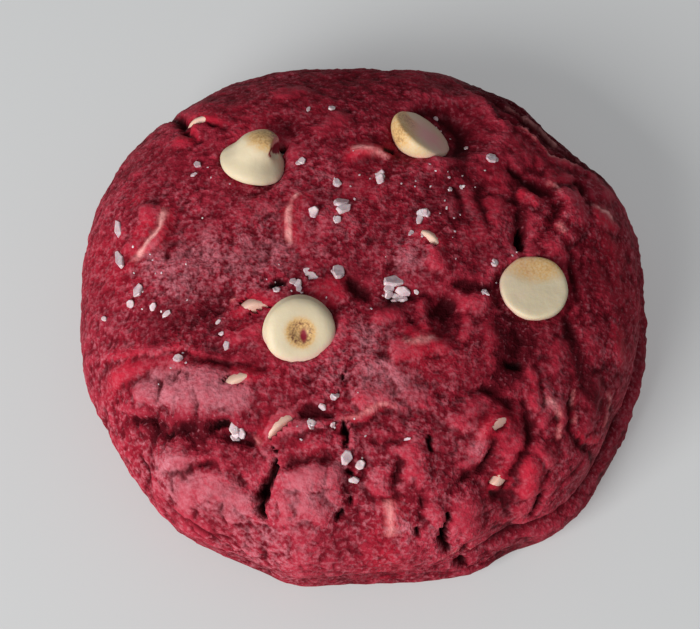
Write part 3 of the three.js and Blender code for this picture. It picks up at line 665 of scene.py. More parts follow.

# Valleys and creases, with painted shade along them: [half-width, depth, points]
CREASES = [
    (0.9, 1.04, [(24.2, 16), (25.5, 14.1), (27.1, 13.3), (28.6, 12.7)]),
    (0.9, 0.64, [(28.6, 12.7), (29.1, 10.2), (28.7, 7.4), (27.2, 5)]),
    (0.9, 1.04, [(32.6, 17.2), (33.5, 15.4), (34.8, 13.4)]), (0.5, 0.64, [(33.2, 16.6), (31.4, 14.8)]),
    (1.2, 0.64, [(15.5, 26), (15.8, 21), (15.2, 16.5)]),
    (0.7, 0.64, [(21.8, 18), (23.2, 16.6), (24.4, 15.4)]),
    (0.9, 0.64, [(22.6, 12), (23.2, 9), (23.8, 5.5)]), (0.7, 0.48, [(17.8, 13.4), (18.4, 9), (18.6, 5)]),
    (0.6, 0.4, [(12.8, 14), (14.5, 10), (14.6, 6)]), (0.8, 0.64, [(20, -4.6), (16, -4.2), (12.5, -4.8)]),
    (1.0, 1.0, [(-3.4, -3.7), (-1.5, -4.3), (0.2, -5.8), (1.3, -7.3)]),
    (0.9, 0.8, [(3, -6.8), (6, -6.6), (8.6, -5.8)]), (1.5, 1.4, [(10.8, -6.8), (12.4, -7.6), (13.6, -9)]),
    (0.5, 1.3, [(6.9, -9.6), (8, -12)]),
    (0.6, 1.2, [(-29.1, 30), (-28.4, 27.6), (-27.1, 24.9), (-25.3, 22.6)]),
    (0.5, 0.7, [(-24.5, 26.4), (-22.6, 25), (-20.5, 23.6)]),
    (0.7, 0.8, [(-25, -16.2), (-22.5, -15.8), (-20.2, -16.6), (-17, -16.8), (-14, -17)]),
    (1.9, 0.55, [(-36, -22.8), (-31.5, -23.8), (-27, -25), (-22, -25.8), (-17.5, -27), (-14, -28.2)]),
    (0.35, 0.7, [(-30.2, -17.4), (-29.8, -19), (-30.3, -21.2)]),
    (0.4, 0.8, [(-35.2, -21.8), (-32, -23), (-29.6, -22.9)]),
    (0.3, 0.5, [(-29, -18.6), (-27.5, -17.4), (-26.1, -17.4), (-25.3, -18.8)]),
    (0.3, 0.6, [(-23.9, -21.2), (-24, -23)]), (0.6, 1.0, [(-20.2, -26.6), (-18.6, -27.7), (-15.6, -28.1)]),
    (0.4, 0.8, [(-29, -30.2), (-26.2, -31), (-24.3, -30.2), (-22.2, -30), (-20.4, -31.2)]),
    (0.35, 0.5, [(-20.6, -34.6), (-20, -36.4), (-19.4, -38)]), (0.35, 0.5, [(-24.2, -34.6), (-24, -36.8)]),
    (0.4, 0.5, [(-18.2, -31.4), (-16.6, -33)]), (0.4, 0.7, [(-33.4, -27.2), (-32, -29.6), (-32.6, -31)]),
    (0.5, 0.7, [(-29.8, -33.4), (-27.3, -35.1), (-25.2, -36.4), (-22.8, -37.8), (-20.2, -38.8),
        (-17.6, -39.6)]),
    (0.5, 0.9, [(-12.2, -31.8), (-10, -31), (-7.8, -30.7), (-5.4, -30.4), (-3.6, -30.2)]),
    (0.9, 0.9, [(-10.4, -23.3), (-7.8, -23.9), (-5.4, -24.1), (-3.8, -25)]),
    (1.7, 0.88, [(20.5, -9.8), (22.6, -12), (22.4, -15.4), (20.8, -17.4), (18.4, -19.4)]),
    (0.9, 0.96, [(14.8, -20.9), (17.2, -20.4), (19.2, -20.6), (20.9, -22), (21.6, -23.4)]),
    (1.0, 1.28, [(23.8, -21.5), (24, -24.4), (24.3, -26.7), (23.6, -28.3), (22.2, -30), (20.9, -31.2)]),
    (0.6, 1.2, [(19.4, -26.4), (18.7, -28.8), (16.8, -30.9), (14.6, -32.5), (12.4, -33.9)]),
    (0.8, 0.88, [(17.8, -33), (19.8, -33.8), (21.8, -33.4)]), (0.5, 0.8, [(27, -29.6), (27.2, -30.8)]),
    (0.5, 0.88, [(27, -32), (25.8, -33.4), (25.2, -35.2)]), (0.4, 0.72, [(28.2, -22.4), (28.4, -24)]),
    (0.5, 0.64, [(30.8, -17), (30.3, -20), (30.4, -23), (31.5, -25.3), (33.6, -26), (36, -24.6),
        (37.4, -20)]),
    (0.6, 0.9, [(8.6, -34.6), (8.4, -36.6), (8.2, -38.4)]),
    (0.6, 0.7, [(0.4, -35.6), (3.2, -35.4), (5.4, -35.4)]),
    (0.5, 0.8, [(4.6, -29.6), (4.9, -32), (4.7, -34.2)]),
    (0.5, 0.5, [(-0.5, -27.4), (2.8, -28.2), (6.2, -27.6)]),
    (0.8, 0.56, [(31, -4), (30.6, -8), (31.4, -13)]), (0.7, 0.48, [(31.6, 2), (31.4, -1.5), (32.8, -4.5)]),
    (0.5, 0.48, [(12.6, -41.2), (10, -42.4), (7.4, -42.6)]), (0.4, 0.7, [(-6.4, -40.4), (-4.2, -40)]),
    (0.4, 0.5, [(-15.2, -40.4), (-14.2, -41.8), (-13.4, -42.6)]),
    (0.5, 0.7, [(1.1, 19.9), (3.1, 19.6), (5.2, 19)]),
    (0.6, 0.4, [(33, -26.5), (30.5, -30), (26.5, -33.6)]), (0.3, 0.5, [(-29.8, 4.8), (-29.9, 1.4)]),
    (0.5, 0.9, [(17, 38.4), (21.4, 34.8), (25.6, 31.2), (29.6, 28), (33.6, 25.2), (37.4, 22.4)]),
    (0.45, 0.8, [(19.2, 33.4), (22.8, 29.8), (26.6, 26.8), (30.6, 23.8), (34.4, 21.8)]),
    (0.8, 1.3, [(-27.4, 27.2), (-29.2, 29.2), (-31, 31.4), (-32, 33)]),
]

# Cracks: [greatest width, depth, points]
CRACKS = [
    (1.6, 3.4, [(-13.3, -28), (-13.1, -31.2), (-14, -33.6), (-14.7, -35.4), (-14.8, -36.8),
        (-13.8, -38.8)]),
    (0.7, 1.4, [(-3.3, -14.8), (-1.8, -15.8)]), (0.7, 1.4, [(-2.4, -16.8), (-3.2, -19.4), (-3.8, -22)]),
    (0.8, 1.8, [(-3, -25.2), (-2.9, -27.4), (-2.7, -30)]),
    (0.7, 1.6, [(-2, -31.6), (-2.1, -34.3), (-1.8, -37.2)]), (0.8, 1.6, [(-2.9, -36.6), (-3.2, -38.8)]),
    (1.5, 2.6, [(23.9, 6.2), (23.9, 4), (23.8, 1.8)]),
    (0.6, 1.2, [(27.1, -31.8), (26, -33.2), (25.2, -35)]),
]

# Pits: [x, y, half-width, half-length, depth]
PITS = [
    (11.8, -39.4, 0.75, 1.5, 2.6), (12.3, -37.2, 0.5, 0.9, 1.6), (15.4, -41.6, 1.3, 1.1, 2.6),
    (3.4, 19.2, 1.0, 0.5, 1.8), (-12.6, 19.6, 1.1, 0.8, 2.2), (9.6, -28.2, 0.4, 0.8, 0.9),
    (7.8, -39.4, 0.6, 0.9, 1.4), (10.2, -42.6, 1.0, 0.45, 1.2), (-28.6, -25.3, 0.8, 0.4, 0.7),
    (-20.9, -25.2, 1.1, 0.6, 0.9), (-12.6, -4.4, 1.3, 0.7, 1.0), (-7.4, -2.9, 0.8, 0.5, 0.8),
    (22, -16.3, 1.4, 1.1, 0.9),
]

# Pale pink over all the skin, partly flour and partly painted sheen
EVEN_FLOUR_AND_SHEEN = 0.27
# Where the skin is more or less floury and pink, partly from flour and partly from painted sheen,
# where it has painted shade or is vivid red, where it is lumpy and where it has crumbled:
# [x, y, radius, strength]
FLOUR_AND_SHEEN = [
    (-28.9, -0.6, 4.5, 0.4), (-24.5, 2, 4, 0.35), (-19.9, -0.8, 5, 0.3), (-14, 1, 5, 0.3),
    (-32.2, 2.5, 3, 0.3), (-26, -4.5, 4, 0.3), (-28, -20, 5, 0.2), (-20, -21, 4, 0.2), (6.5, 0, 3, 0.6),
    (0.5, -13, 3, 0.5), (3, -17.5, 4, 0.3), (-7.5, -35, 5, 0.2), (7, -21, 2.4, 0.35),
    (16.4, -28.4, 2.2, 0.45), (27.6, -21, 2, 0.4), (2.5, -33, 2.2, 0.3), (11, -38.4, 1.8, 0.35),
    (5.4, -39, 2, 0.45), (22.5, 6.6, 1.5, 0.25), (31, 12.4, 2, 0.15), (-28.6, -28.8, 2.6, 0.4),
    (-15, -41, 6, 0.3), (-4.6, -18.6, 3, 0.3), (0, 35, 14, -0.25), (-25, 25, 12, -0.15),
    (26, 24, 12, -0.15), (36, 0, 10, -0.12), (-10, 8, 8, 0.1), (8, -28, 10, 0.1), (-36, -30, 8, 0.15),
    (-41, -10, 6, 0.05),
]
# Spots of painted shade: [x, y, radius, strength]
SHADE_SPOTS = [
    (21, -12, 7, 0.72), (34, -14, 5, 0.3), (5, -41, 6, 0.15), (-4, -41, 5, 0.12), (-26, 0, 9, 0.08),
    (36, -1, 6, 0.3), (34, 6, 5, 0.25), (-41, -2, 6, 0.35), (-23.4, -8.3, 5.5, 0.9), (-30, -8.5, 4, 0.7),
    (11.4, -8.8, 3, 0.6), (4, -8.2, 4, 0.4), (24, 6, 3, 0.5), (22, -12, 3.4, 0.7), (30, -10, 4, 0.5),
    (16, 12, 7, 0.35), (28, 28, 6, 0.9), (36, 22, 4, 0.8), (20, 36, 5, 0.8), (26, 31, 4, 0.8),
    (-2.5, -3.5, 3.4, 0.6), (-24, -25.4, 4, 0.4), (-31, -24, 4, 0.5), (-17.5, -27, 3, 0.4),
    (0, 38, 10, 0.6), (3.6, 21.4, 3, 0.6), (38, -5, 4, 0.3), (33.6, -18, 3, 0.6), (9, 12, 6, 0.2),
    (31, 25, 6, 0.6), (13, 37, 5, 0.6), (24, 14, 8, 0.3), (13, 25, 3.4, 0.5), (-11, -4.6, 3, 0.5),
    (-34, 10.6, 2.4, 0.5), (-22, 35, 6, 0.3), (12, -33, 3, 0.4), (21.5, -24, 3, 0.3), (-8, -24.4, 3, 0.4),
    (33, 0, 4, 0.3), (40, 12, 5, 0.4),
]
VIVID = [
    (-34.5, 13, 2.2, 0.5), (38.6, -10, 2.6, 0.5), (39.6, -2, 4, 0.5), (38, 6, 4, 0.4), (-6.5, 28, 2.4, 0.3),
    (-37, 0, 5, 0.5), (-40, 6, 5, 0.4), (-35, -12.8, 3.4, 0.6), (-27, -12.9, 3, 0.7),
    (-13, -18.5, 2.2, 0.4), (3, -42, 4, 0.6), (10, -15.4, 3, 0.5), (-37, -16.5, 3, 0.5),
    (-12.8, 8.6, 1.8, 0.7), (-33, 7, 2, 0.5), (8.5, -13.4, 2.4, 0.5), (5.5, -16.5, 3, 0.3),
    (-36, -26, 5, 0.3), (0, 12, 8, 0.2), (-16, 24, 6, 0.3), (0, -22.6, 4, 0.3), (-8, -29.2, 3, 0.3),
    (12, -16, 4, 0.2),
]
LUMPY = [
    (24, 18, 13, 0.6), (30, 0, 12, 0.4), (20, -30, 13, 0.3), (5, -30, 9, 0.4), (28, -18, 9, 0.3),
    (-28, -25, 8, 0.6), (8, 30, 8, 0.3), (5, 2, 9, 0.35), (-22, -8, 7, 0.4),
]
CRUMBLED = [
    (-31, -24, 4, 1.3), (-24, -25.8, 4, 1.3), (-17, -27, 3, 1.2), (-37, -20, 3, 1.0), (27, 27, 6, 0.5),
    (36, 21, 4, 0.5), (2, -36, 6, 0.5), (-16, -40, 6, 0.5), (12, -40, 6, 0.5), (0, 34, 12, 0.5),
    (38, 0, 10, 0.5), (30, 9, 8, 0.4), (-23, -8, 6, 0.6), (0, -20, 5, 0.4), (-4, -27, 4, 0.4),
    (22, -10, 4, 0.4), (-36, -30, 6, 0.5),
]
# Bands of painted shade: [half-width, strength, points]
SHADES = [
    (2.4, 1.1, [(13.5, 41), (19, 37), (23.4, 31.4), (27.6, 27.6), (32, 24), (36.6, 21.6), (41, 16)]),
    (1.2, 0.6, [(-20, 36), (-10, 40.5), (0, 42), (10, 41.5)]),
    (1.4, 0.6, [(14.8, 26), (15.8, 21), (15.6, 16), (18, 12)]),
    (1.2, 0.6, [(22, 17), (24.6, 13.5), (24, 8), (23.6, 3)]),
    (1.4, 0.7, [(30.5, -9), (31.5, -14), (33.5, -18), (34, -22)]),
    (1.8, 0.9, [(20.6, -8.6), (22.6, -12), (22, -16.6), (18.6, -20)]),
    (1.0, 0.6, [(20, -4.6), (16, -4.2), (12.5, -4.8)]),
    (1.4, 0.6, [(0, -7.6), (6, -8.4), (11, -9), (14, -9.4)]),
    (1.4, 0.35, [(-37, -22.6), (-31.5, -23.6), (-27, -25), (-22, -25.6), (-17, -27)]),
    (1.4, 0.5, [(12, -34.4), (12, -30.6), (10.2, -26)]),
    (1.2, 0.5, [(26, -37), (31, -32.5), (35.5, -27), (38.6, -21)]),
    (1.6, 0.7, [(41.6, 13), (43.4, 5), (43.6, -5), (42.4, -14)]),
]

# Bright lines where the skin is stretched over the edge of something, some of them painted
# highlights along lit edges and crests: [half-width, strength, points]
STREAKS = [
    (0.42, 1.3, [(-30.3, 10.6), (-30.4, 8.2), (-31.1, 6.2), (-32.2, 4.5), (-33.7, 3.2), (-35.4, 2.6)]),
    (0.42, 1.3, [(-9.8, 10.6), (-10.9, 9.2), (-11.3, 7.4), (-11.2, 5), (-10.8, 2.6)]),
    (0.5, 0.8, [(-2, 18.9), (0.8, 18.5), (3.7, 17.6)]),
    (0.45, 0.8, [(5.6, -13.5), (8, -13.4), (11, -12.7)]),
    (0.6, 0.65, [(3.6, -35.6), (3.9, -37.6), (4, -40.2)]),
    (0.4, 1.15, [(35.6, 11.7), (37.2, 11.5), (39.2, 11.4)]),
    (0.3, 0.6, [(27.8, 14.6), (29.3, 14.2), (30.1, 12.4)]), (0.4, 0.5, [(29.7, 7), (29.9, 5.8)]),
    (0.4, 0.5, [(27, -20), (27.9, -21.2), (29, -23)]),
    (0.3, 0.6, [(28.9, -23.6), (28.3, -24.8), (28.6, -25.6)]),
    (0.25, 0.4, [(31.3, -17.4), (30.8, -20), (30.9, -22.8)]),
    (0.3, 0.4, [(36.3, -16.4), (36.7, -19), (36, -22)]),
    (0.3, 0.4, [(10.9, -41.6), (14.7, -40.3), (19.8, -39.1), (24.7, -36.6)]),
    (0.3, 0.5, [(-3.6, -25.2), (-1.5, -24.3), (0.7, -23.9), (3, -23.7), (4.6, -23.6)]),
    (0.34, 0.8, [(22, 27.2), (25.2, 25.2), (27.2, 23.7), (28.6, 22.2), (29.8, 21), (31.8, 20.4),
        (34, 20.3)]),
    (0.3, 0.65, [(22.6, 30.6), (25.6, 28.6), (28.6, 26.2), (31.4, 23.7), (34.6, 22.2)]),
    (0.5, 0.35, [(-18.6, -6.5), (-19.4, -6.2)]), (0.5, 0.35, [(-14.6, -27.8), (-15.8, -27.6)]),
]

SPOT_FADE = 1.6  # how fast a spot fades towards its radius
SHELF_EDGE = 0.35  # mm over which a shelf steps down
PLATE_REACH = 1.5
STREAK_RISE = 0.2
GLOW_WIDTH = 3.2  # of the red beside a streak, times the streak's width
VALLEY_WIDTH = 0.42  # of the valleys between lumps, as a share of a lump
STILL_UP_TO, FREE_FROM = 0.4, 4.5  # heights between which the relief sets in
PLAN_FLOOR = 4  # mm up; marks laid out in plan reach no lower
PIT_FLOOR = 5
# Noises: [size of the lumps in mm, height in mm, seed]
SLOW_SWELL = [(9, 0.4, 1), (4.2, 0.28, 2)]
RAGGED_SHIFTS = [
    [(3.2, 0.8, 11), (1.2, 0.45, 14)],
    [(3.2, 0.8, 12), (1.2, 0.45, 15)],
    [(3.2, 0.8, 13), (1.2, 0.45, 16)],
]


def outline_radius(angle):
    radius = np.full_like(angle, MEAN_RADIUS)
    for count, cosine, sine in OUTLINE_WAVES:
        radius += cosine * np.cos(count * angle) + sine * np.sin(count * angle)
    for direction, half_width, bulge in OUTLINE_BULGES:
        turn = np.degrees(angle) - direction
        radius += bulge * bell((turn + 180) % 360 - 180, half_width)
    return radius


def foot_share(angle):
    """1 on the side where the foot shows past the cap, 0 where the cap hides it."""
    return smooth_step(np.cos(angle - FOOT_SIDE), 0.1, 0.7)


def cap_radius(angle):
    return outline_radius(angle) - FOOT_SHOWS * foot_share(angle)


def radius_at(angle, height):
    foot = outline_radius(angle) - FOOT_HIDES * (1 - foot_share(angle))
    cap_share = smooth_step(height, CAP_FROM, LIP_HEIGHT)
    middle = np.full_like(angle, GROOVE_HEIGHT)
    for count, rise, turn in GROOVE_WAVES:
        middle += rise * np.sin(count * angle + math.radians(turn))
    groove = LIP_GROOVE * np.maximum(foot_share(angle), LEAST_GROOVE) * bell(height - middle, 1)
    return foot + (cap_radius(angle) - foot) * cap_share - groove


def dome_height(share):
    rise = np.sqrt(np.clip(1 - np.clip(share, 0, 1) ** DOME_POWER, 0, 1))
    return LIP_HEIGHT + (COOKIE_HEIGHT - LIP_HEIGHT) * rise


def side_share(height):
    """How much of the radius the side has below the lip: a crease, a foot, a round edge."""
    depth, middle, half_width = FOOT_CREASE
    crease = depth * bell(height - middle, half_width)
    edge = FOOT_EDGE_SHARE * np.clip(1 - height / FOOT_EDGE, 0, 1) ** 2.5
    return 1 - crease - edge


def profile_points():
    """[share of the radius, height] from the top of the dome to the middle of the underside."""
    dome_share = np.sin(np.linspace(0, math.pi / 2, DOME_STEPS))
    side_height = np.linspace(LIP_HEIGHT, 0, SIDE_STEPS)[1:]
    base_share = np.linspace(side_share(0.0), 0, BASE_STEPS)[1:]
    share = np.concatenate([dome_share, side_share(side_height), base_share])
    height = np.concatenate([dome_height(dome_share), side_height, np.zeros(BASE_STEPS - 1)])
    return share, height


def round_block():
    """A finely cut block, rounded to a ball of even squares."""
    deselect_all()
    bpy.ops.mesh.primitive_cube_add(size=2)
    block = bpy.context.object
    bpy.ops.object.mode_set(mode="EDIT")
    bpy.ops.mesh.select_all(action="SELECT")
    bpy.ops.mesh.subdivide(number_cuts=DOUGH_CUTS)
    bpy.ops.object.mode_set(mode="OBJECT")
    evened = np.tan(vertex_places(block) * math.pi / 4)
    return block, evened / np.linalg.norm(evened, axis=1)[:, None]


def outward_of(angle, share, height):
    across = DOME_POWER * np.clip(share, 0, 1) ** (DOME_POWER - 1) / MEAN_RADIUS
    rise = 2 * np.clip(height - LIP_HEIGHT, 0, None) / (COOKIE_HEIGHT - LIP_HEIGHT) ** 2
    outward = np.stack([across * np.cos(angle), across * np.sin(angle), rise], axis=1)
    return outward / np.linalg.norm(outward, axis=1)[:, None]


def draw_out(directions):
    """Draws the ball out to the smooth cookie: places and outward directions, in mm."""
    share, height = profile_points()
    ring = (share[1:] + share[:-1]) * np.hypot(np.diff(share) * MEAN_RADIUS, np.diff(height))
    ring[height[:-1] <= 0] *= BASE_WEIGHT
    covered = np.concatenate([[0], np.cumsum(ring)]) / ring.sum()
    wanted = (1 - directions[:, 2]) / 2
    share = np.interp(wanted, covered, share)
    height = np.interp(wanted, covered, height)
    angle = np.arctan2(directions[:, 1], directions[:, 0])
    radius = share * radius_at(angle, height)
    places = np.stack([radius * np.cos(angle), radius * np.sin(angle), height], axis=1)
    return places, outward_of(angle, share, height)


def curved(points, steps=6):
    """A smooth line through the points, lifted on to the dome."""
    ends = [points[0], *points, points[-1]]
    line = []
    for before, start, end, after in zip(ends, ends[1:], ends[2:], ends[3:]):
        before, start, end, after = map(np.array, (before, start, end, after))
        for t in np.arange(steps) / steps:
            bend = (2 * before - 5 * start + 4 * end - after) * t**2
            twist = (-before + 3 * start - 3 * end + after) * t**3
            line.append(0.5 * (2 * start + (end - before) * t + bend + twist))
    line.append(np.array(points[-1], float))
    flat = np.array(line)
    angle = np.arctan2(flat[:, 1], flat[:, 0])
    height = dome_height(np.hypot(flat[:, 0], flat[:, 1]) / cap_radius(angle))
    return np.column_stack([flat, height])


def along_line(places, line):
    """For each place: distance to the line, the side it lies on, and how far along it is."""
    nearest = np.full(len(places), np.inf)
    side = np.zeros(len(places))
    along = np.zeros(len(places))
    for i, (start, end) in enumerate(zip(line, line[1:])):
        step = end - start
        offset = places - start
        share = np.clip(offset @ step / (step @ step), 0, 1)
        gap = offset - share[:, None] * step
        distance = np.linalg.norm(gap, axis=1)
        closer = distance < nearest
        nearest[closer] = distance[closer]
        turn = step[0] * gap[:, 1] - step[1] * gap[:, 0]
        side[closer] = turn[closer] / (distance[closer] + 1e-6)
        along[closer] = (i + share[closer]) / (len(line) - 1)
    return nearest, np.clip(side * 2, -1, 1), along


def taper(along):
    """0 at both ends of a line and 1 along its middle."""
    return np.clip(np.minimum(4 * along, 4 * (1 - along)), 0, 1)


def near_line(places, points, reach):
    """The places near a line: which ones they are, and their distance, side and way along."""
    line = curved(points)
    middle = line.mean(axis=0)
    radius = np.linalg.norm(line - middle, axis=1).max() + reach
    near = np.nonzero(np.linalg.norm(places - middle, axis=1) < radius)[0]
    return near, *along_line(places[near], line)


def spots(places, marks):
    """The sum of soft round spots: [x, y, radius, strength]."""
    total = np.zeros(len(places))
    for x, y, radius, strength in marks:
        distance = np.hypot(places[:, 0] - x, places[:, 1] - y) / radius
        total += strength * np.exp(-(distance**2) * SPOT_FADE)
    return np.where(places[:, 2] > PLAN_FLOOR, total, 0)


def shaken(places):
    """The same places, shifted a little, so that strokes come out ragged."""
    return places + np.stack([layered_noise(places, layers) for layers in RAGGED_SHIFTS], axis=1)


def lumpy(places, size, seed):
    """Rounded lumps with narrow valleys between them, from 0 in a valley to 1 on a lump."""
    shift = Vector((seed * 5.1, seed * 2.3, seed * -4.7))
    valley = []
    for place in (places / size).tolist():
        distances, _ = noise.voronoi(Vector(place) + shift)
        valley.append(distances[1] - distances[0])
    return smooth_step(np.array(valley), 0, VALLEY_WIDTH)


def add_shelves(ragged, height):
    for step, reach, points in SHELVES:
        near, distance, side, along = near_line(ragged, points, reach)
        fade = np.clip(1 - distance / reach, 0, 1) ** 2
        height[near] += step * side * np.clip(distance / SHELF_EDGE, 0, 1) * fade * taper(along)


def add_lumps(ragged, height):
    """Raises the lumps, each half sunk in the rest; says how vivid and how smooth they are."""
    lift = np.zeros(len(height))
    vivid = np.zeros(len(height))
    smooth = np.zeros(len(height))
    for half_width, rise, red, points in LUMPS:
        near, distance, _, _ = near_line(ragged, points, half_width)
        mound = np.clip(1 - (distance / half_width) ** 2, 0, 1) ** 1.5
        lift[near] = np.maximum(lift[near], rise * mound)
        vivid[near] = np.maximum(vivid[near], red * mound)
        smooth[near] = np.maximum(smooth[near], mound)
    height += lift
    return vivid, smooth


def add_creases(ragged, height):
    """Presses the creases in, deeper here and there, and says where painted shade falls along them."""
    shade = np.zeros(len(height))
    for width, depth, points in CREASES:
        near, distance, _, along = near_line(ragged, points, width * 4)
        broken = np.clip(0.9 + 0.5 * noise_at(ragged[near], 3.5, 21), 0.2, 1.2)
        share = np.maximum(0.3, taper(along)) * broken
        height[near] -= depth * bell(distance, width) * share
        band = bell(distance / width, 1.4) * share * min(depth, 1)
        shade[near] = np.maximum(shade[near], band)
    return shade


def add_plates(ragged, height):
    """Lifts each plate of skin, and says how much flour and painted sheen the plates have."""
    whole = np.zeros(len(height))
    for rise, flour_and_sheen_share, points in PLATES:
        near, distance, side, _ = near_line(ragged, [*points, points[0]], PLATE_REACH)
        inside = side * distance
        height[near] += rise * smooth_step(inside, -0.4, 0.9)
        whole[near] = np.maximum(whole[near], flour_and_sheen_share * smooth_step(inside, -0.8, 1.6))
    return whole


def add_cracks(ragged, height, split):
    for width, depth, points in CRACKS:
        near, distance, _, along = near_line(ragged, points, width * 2)
        opened = np.sin(math.pi * np.clip(along, 0.03, 0.97)) ** 0.6
        half = width / 2 * opened
        inside = 1 - smooth_step(distance, half * 0.5, half * 1.2)
        split[near] = np.maximum(split[near], inside)
        height[near] -= depth * inside * np.clip(opened, 0.3, 1)


def add_pits(ragged, height, split):
    for x, y, half_width, half_length, depth in PITS:
        distance = np.hypot((ragged[:, 0] - x) / half_width, (ragged[:, 1] - y) / half_length)
        inside = 1 - smooth_step(distance, 0.6, 1.2)
        inside[ragged[:, 2] < PIT_FLOOR] = 0
        split[:] = np.maximum(split, inside)
        height -= depth * inside


def shaded(ragged):
    """How much painted shade the bands lay on each place."""
    shade = np.zeros(len(ragged))
    for width, strength, points in SHADES:
        near, distance, _, along = near_line(ragged, points, width * 3)
        band = strength * bell(distance, width) * np.sqrt(taper(along))
        shade[near] = np.maximum(shade[near], band)
    return shade


def add_streaks(ragged, height):
    """Lifts thin bright lines of stretched skin, some of them painted highlights; says where they are, and
    their red surround.
    """
    share = np.zeros(len(height))
    glow = np.zeros(len(height))
    for width, strength, points in STREAKS:
        near, distance, _, along = near_line(ragged, points, width * 6)
        fade = np.sqrt(taper(along))
        bright = bell(distance, width) * fade
        share[near] = np.maximum(share[near], strength * bright)
        around_it = bell(distance / width, GLOW_WIDTH) * fade
        glow[near] = np.maximum(glow[near], min(strength, 1) * around_it)
        height[near] += STREAK_RISE * bright
    return share, glow


def baked_relief(places):
    """Height over the smooth cookie in mm, and the masks that its material reads."""
    ragged = shaken(places)
    height = layered_noise(places, SLOW_SWELL) + spots(ragged, SWELLINGS)
    split = np.zeros(len(places))
    add_shelves(ragged, height)
    lump_red, smooth = add_lumps(ragged, height)
    shade = add_creases(ragged, height)
    whole = add_plates(ragged, height)
    add_cracks(ragged, height, split)
    add_pits(ragged, height, split)
    streaks, glow = add_streaks(ragged, height)
    flour_and_sheen_share = spots(ragged, FLOUR_AND_SHEEN)
    patches = 0.5 + 0.5 * noise_at(places, 5, 41)
    masks = {
        "split": split,
        "streaked": streaks,
        "vivid": lump_red + spots(ragged, VIVID) + 0.75 * glow,
        "crumbly": patches + flour_and_sheen_share + spots(ragged, CRUMBLED) - 0.5 * smooth,
        "flour_and_sheen": EVEN_FLOUR_AND_SHEEN + flour_and_sheen_share + whole - 0.5 * shade,
        "painted_shade": spots(ragged, SHADE_SPOTS) + shade + shaded(ragged) - 0.8 * lump_red - 0.5 * glow,
    }
    return ragged, height, whole, masks


def crumb_relief(places, ragged, whole, crumbly):
    """Lumps and crumbs, coarser where the dough has crumbled and fine on whole skin."""
    rough = 0.5 + 0.6 * np.clip(crumbly, 0, 1.6) - 0.5 * whole
    rough += 0.4 * smooth_step(-places[:, 2], -10, -6)
    lumps = (lumpy(ragged, 4.6, 31) - 0.7) * 0.5 * spots(ragged, LUMPY)
    grains = (lumpy(ragged, 1.7, 32) - 0.6) * 0.15 * rough
    middling = noise_at(places, 1.9, 33) * 0.2 * rough
    fine = noise_at(places, 0.9, 34) * 0.13 * (0.5 + 0.5 * rough)
    return lumps + grains + middling + fine


CHIP_REACH = 9  # mm from a chip's middle that it can touch
FARTHEST_GAP = 3.0


def solid_near(places, piece):
    """The surface of a chip in mm, and which of the places are near it."""
    corners = vertex_places(piece) / MM
    faces = [tuple(face.vertices) for face in piece.data.polygons]
    near = np.linalg.norm(places - corners.mean(axis=0), axis=1) < CHIP_REACH
    return BVHTree.FromPolygons(corners.tolist(), faces), np.nonzero(near)[0]


def chip_gap(places, pieces):
    """Distance in mm from each place to the nearest chip, negative inside it, at most 3."""
    gap = np.full(len(places), FARTHEST_GAP)
    for piece in pieces:
        surface, near = solid_near(places, piece)
        for i in near:
            hit, normal, _, distance = surface.find_nearest(Vector(places[i]), FARTHEST_GAP)
            if hit is None:
                continue
            signed = distance if (Vector(places[i]) - hit).dot(normal) > 0 else -distance
            gap[i] = min(gap[i], signed)
    return gap


SEAT_SLOPE = 0.9  # how the dough rises again beyond a chip
SEAT_RADIUS = 5.2
SEAT_WIDTH = 6  # how far beyond that radius the dough is kept down
SEAT_BLEND = 0.6
FREE = 99.0  # a limit so high that it holds nothing down


def seat_chips(places, outward, height):
    """Keeps the dough down to the level at which it meets each whole chip, in mm."""
    for (_, tip, _, reach, facing), chip in zip(WHOLE_CHIPS, whole_chips):
        axis, up = unit(tip), unit(facing)
        corners = vertex_places(chip) / MM
        along = corners @ axis
        meeting = corners[along < along.min() + 0.05].mean(axis=0) + axis * reach
        level = ((meeting - places) @ up) / np.maximum(outward @ up, 0.2)
        crossing = places + outward * level[:, None]
        beyond = np.clip(np.linalg.norm(crossing - meeting, axis=1) - SEAT_RADIUS, 0, None)
        limit = level + SEAT_SLOPE * beyond
        limit[(beyond > SEAT_WIDTH) | (places[:, 2] < PLAN_FLOOR)] = FREE
        share = np.clip(0.5 + 0.5 * (limit - height) / SEAT_BLEND, 0, 1)
        height = limit * (1 - share) + height * share - SEAT_BLEND * share * (1 - share)
    return height


NOT_OVER = -9.0  # stands for no chip over a place
LOOK_FROM, LOOK_THROUGH = 8, 12  # mm out from the dough, and mm back in from there
SKIN = 0.22  # mm of dough over a buried chip
SUNK = 0.15  # mm from a bare chip down to the dough's edge
DEEPEST_TEAR = 1.3
TEAR_SLOPE = 1.4  # how the dough rises again beyond a tear
TEAR_RAGGEDNESS = 0.3
SKIN_EVENINGS = 10


def height_over(places, outward, piece):
    """How far a chip's surface stands above each place, in mm."""
    over = np.full(len(places), NOT_OVER)
    surface, near = solid_near(places, piece)
    for i in near:
        direction = Vector(outward[i])
        start = Vector(places[i]) + direction * LOOK_FROM
        hit, _, _, distance = surface.ray_cast(start, -direction, LOOK_THROUGH)
        if hit is not None:
            over[i] = LOOK_FROM - distance
    return over


def neighbour_mean(values, edges, times):
    """Each vertex's value, evened out with its neighbours' so many times."""
    count = np.bincount(edges.ravel(), minlength=len(values))[:, None]
    for _ in range(times):
        total = np.stack([
            np.bincount(edges[:, 0], values[edges[:, 1], k], len(values))
            + np.bincount(edges[:, 1], values[edges[:, 0], k], len(values))
            for k in range(values.shape[1])
        ], axis=1)
        values = (values + total) / (count + 1)
    return values


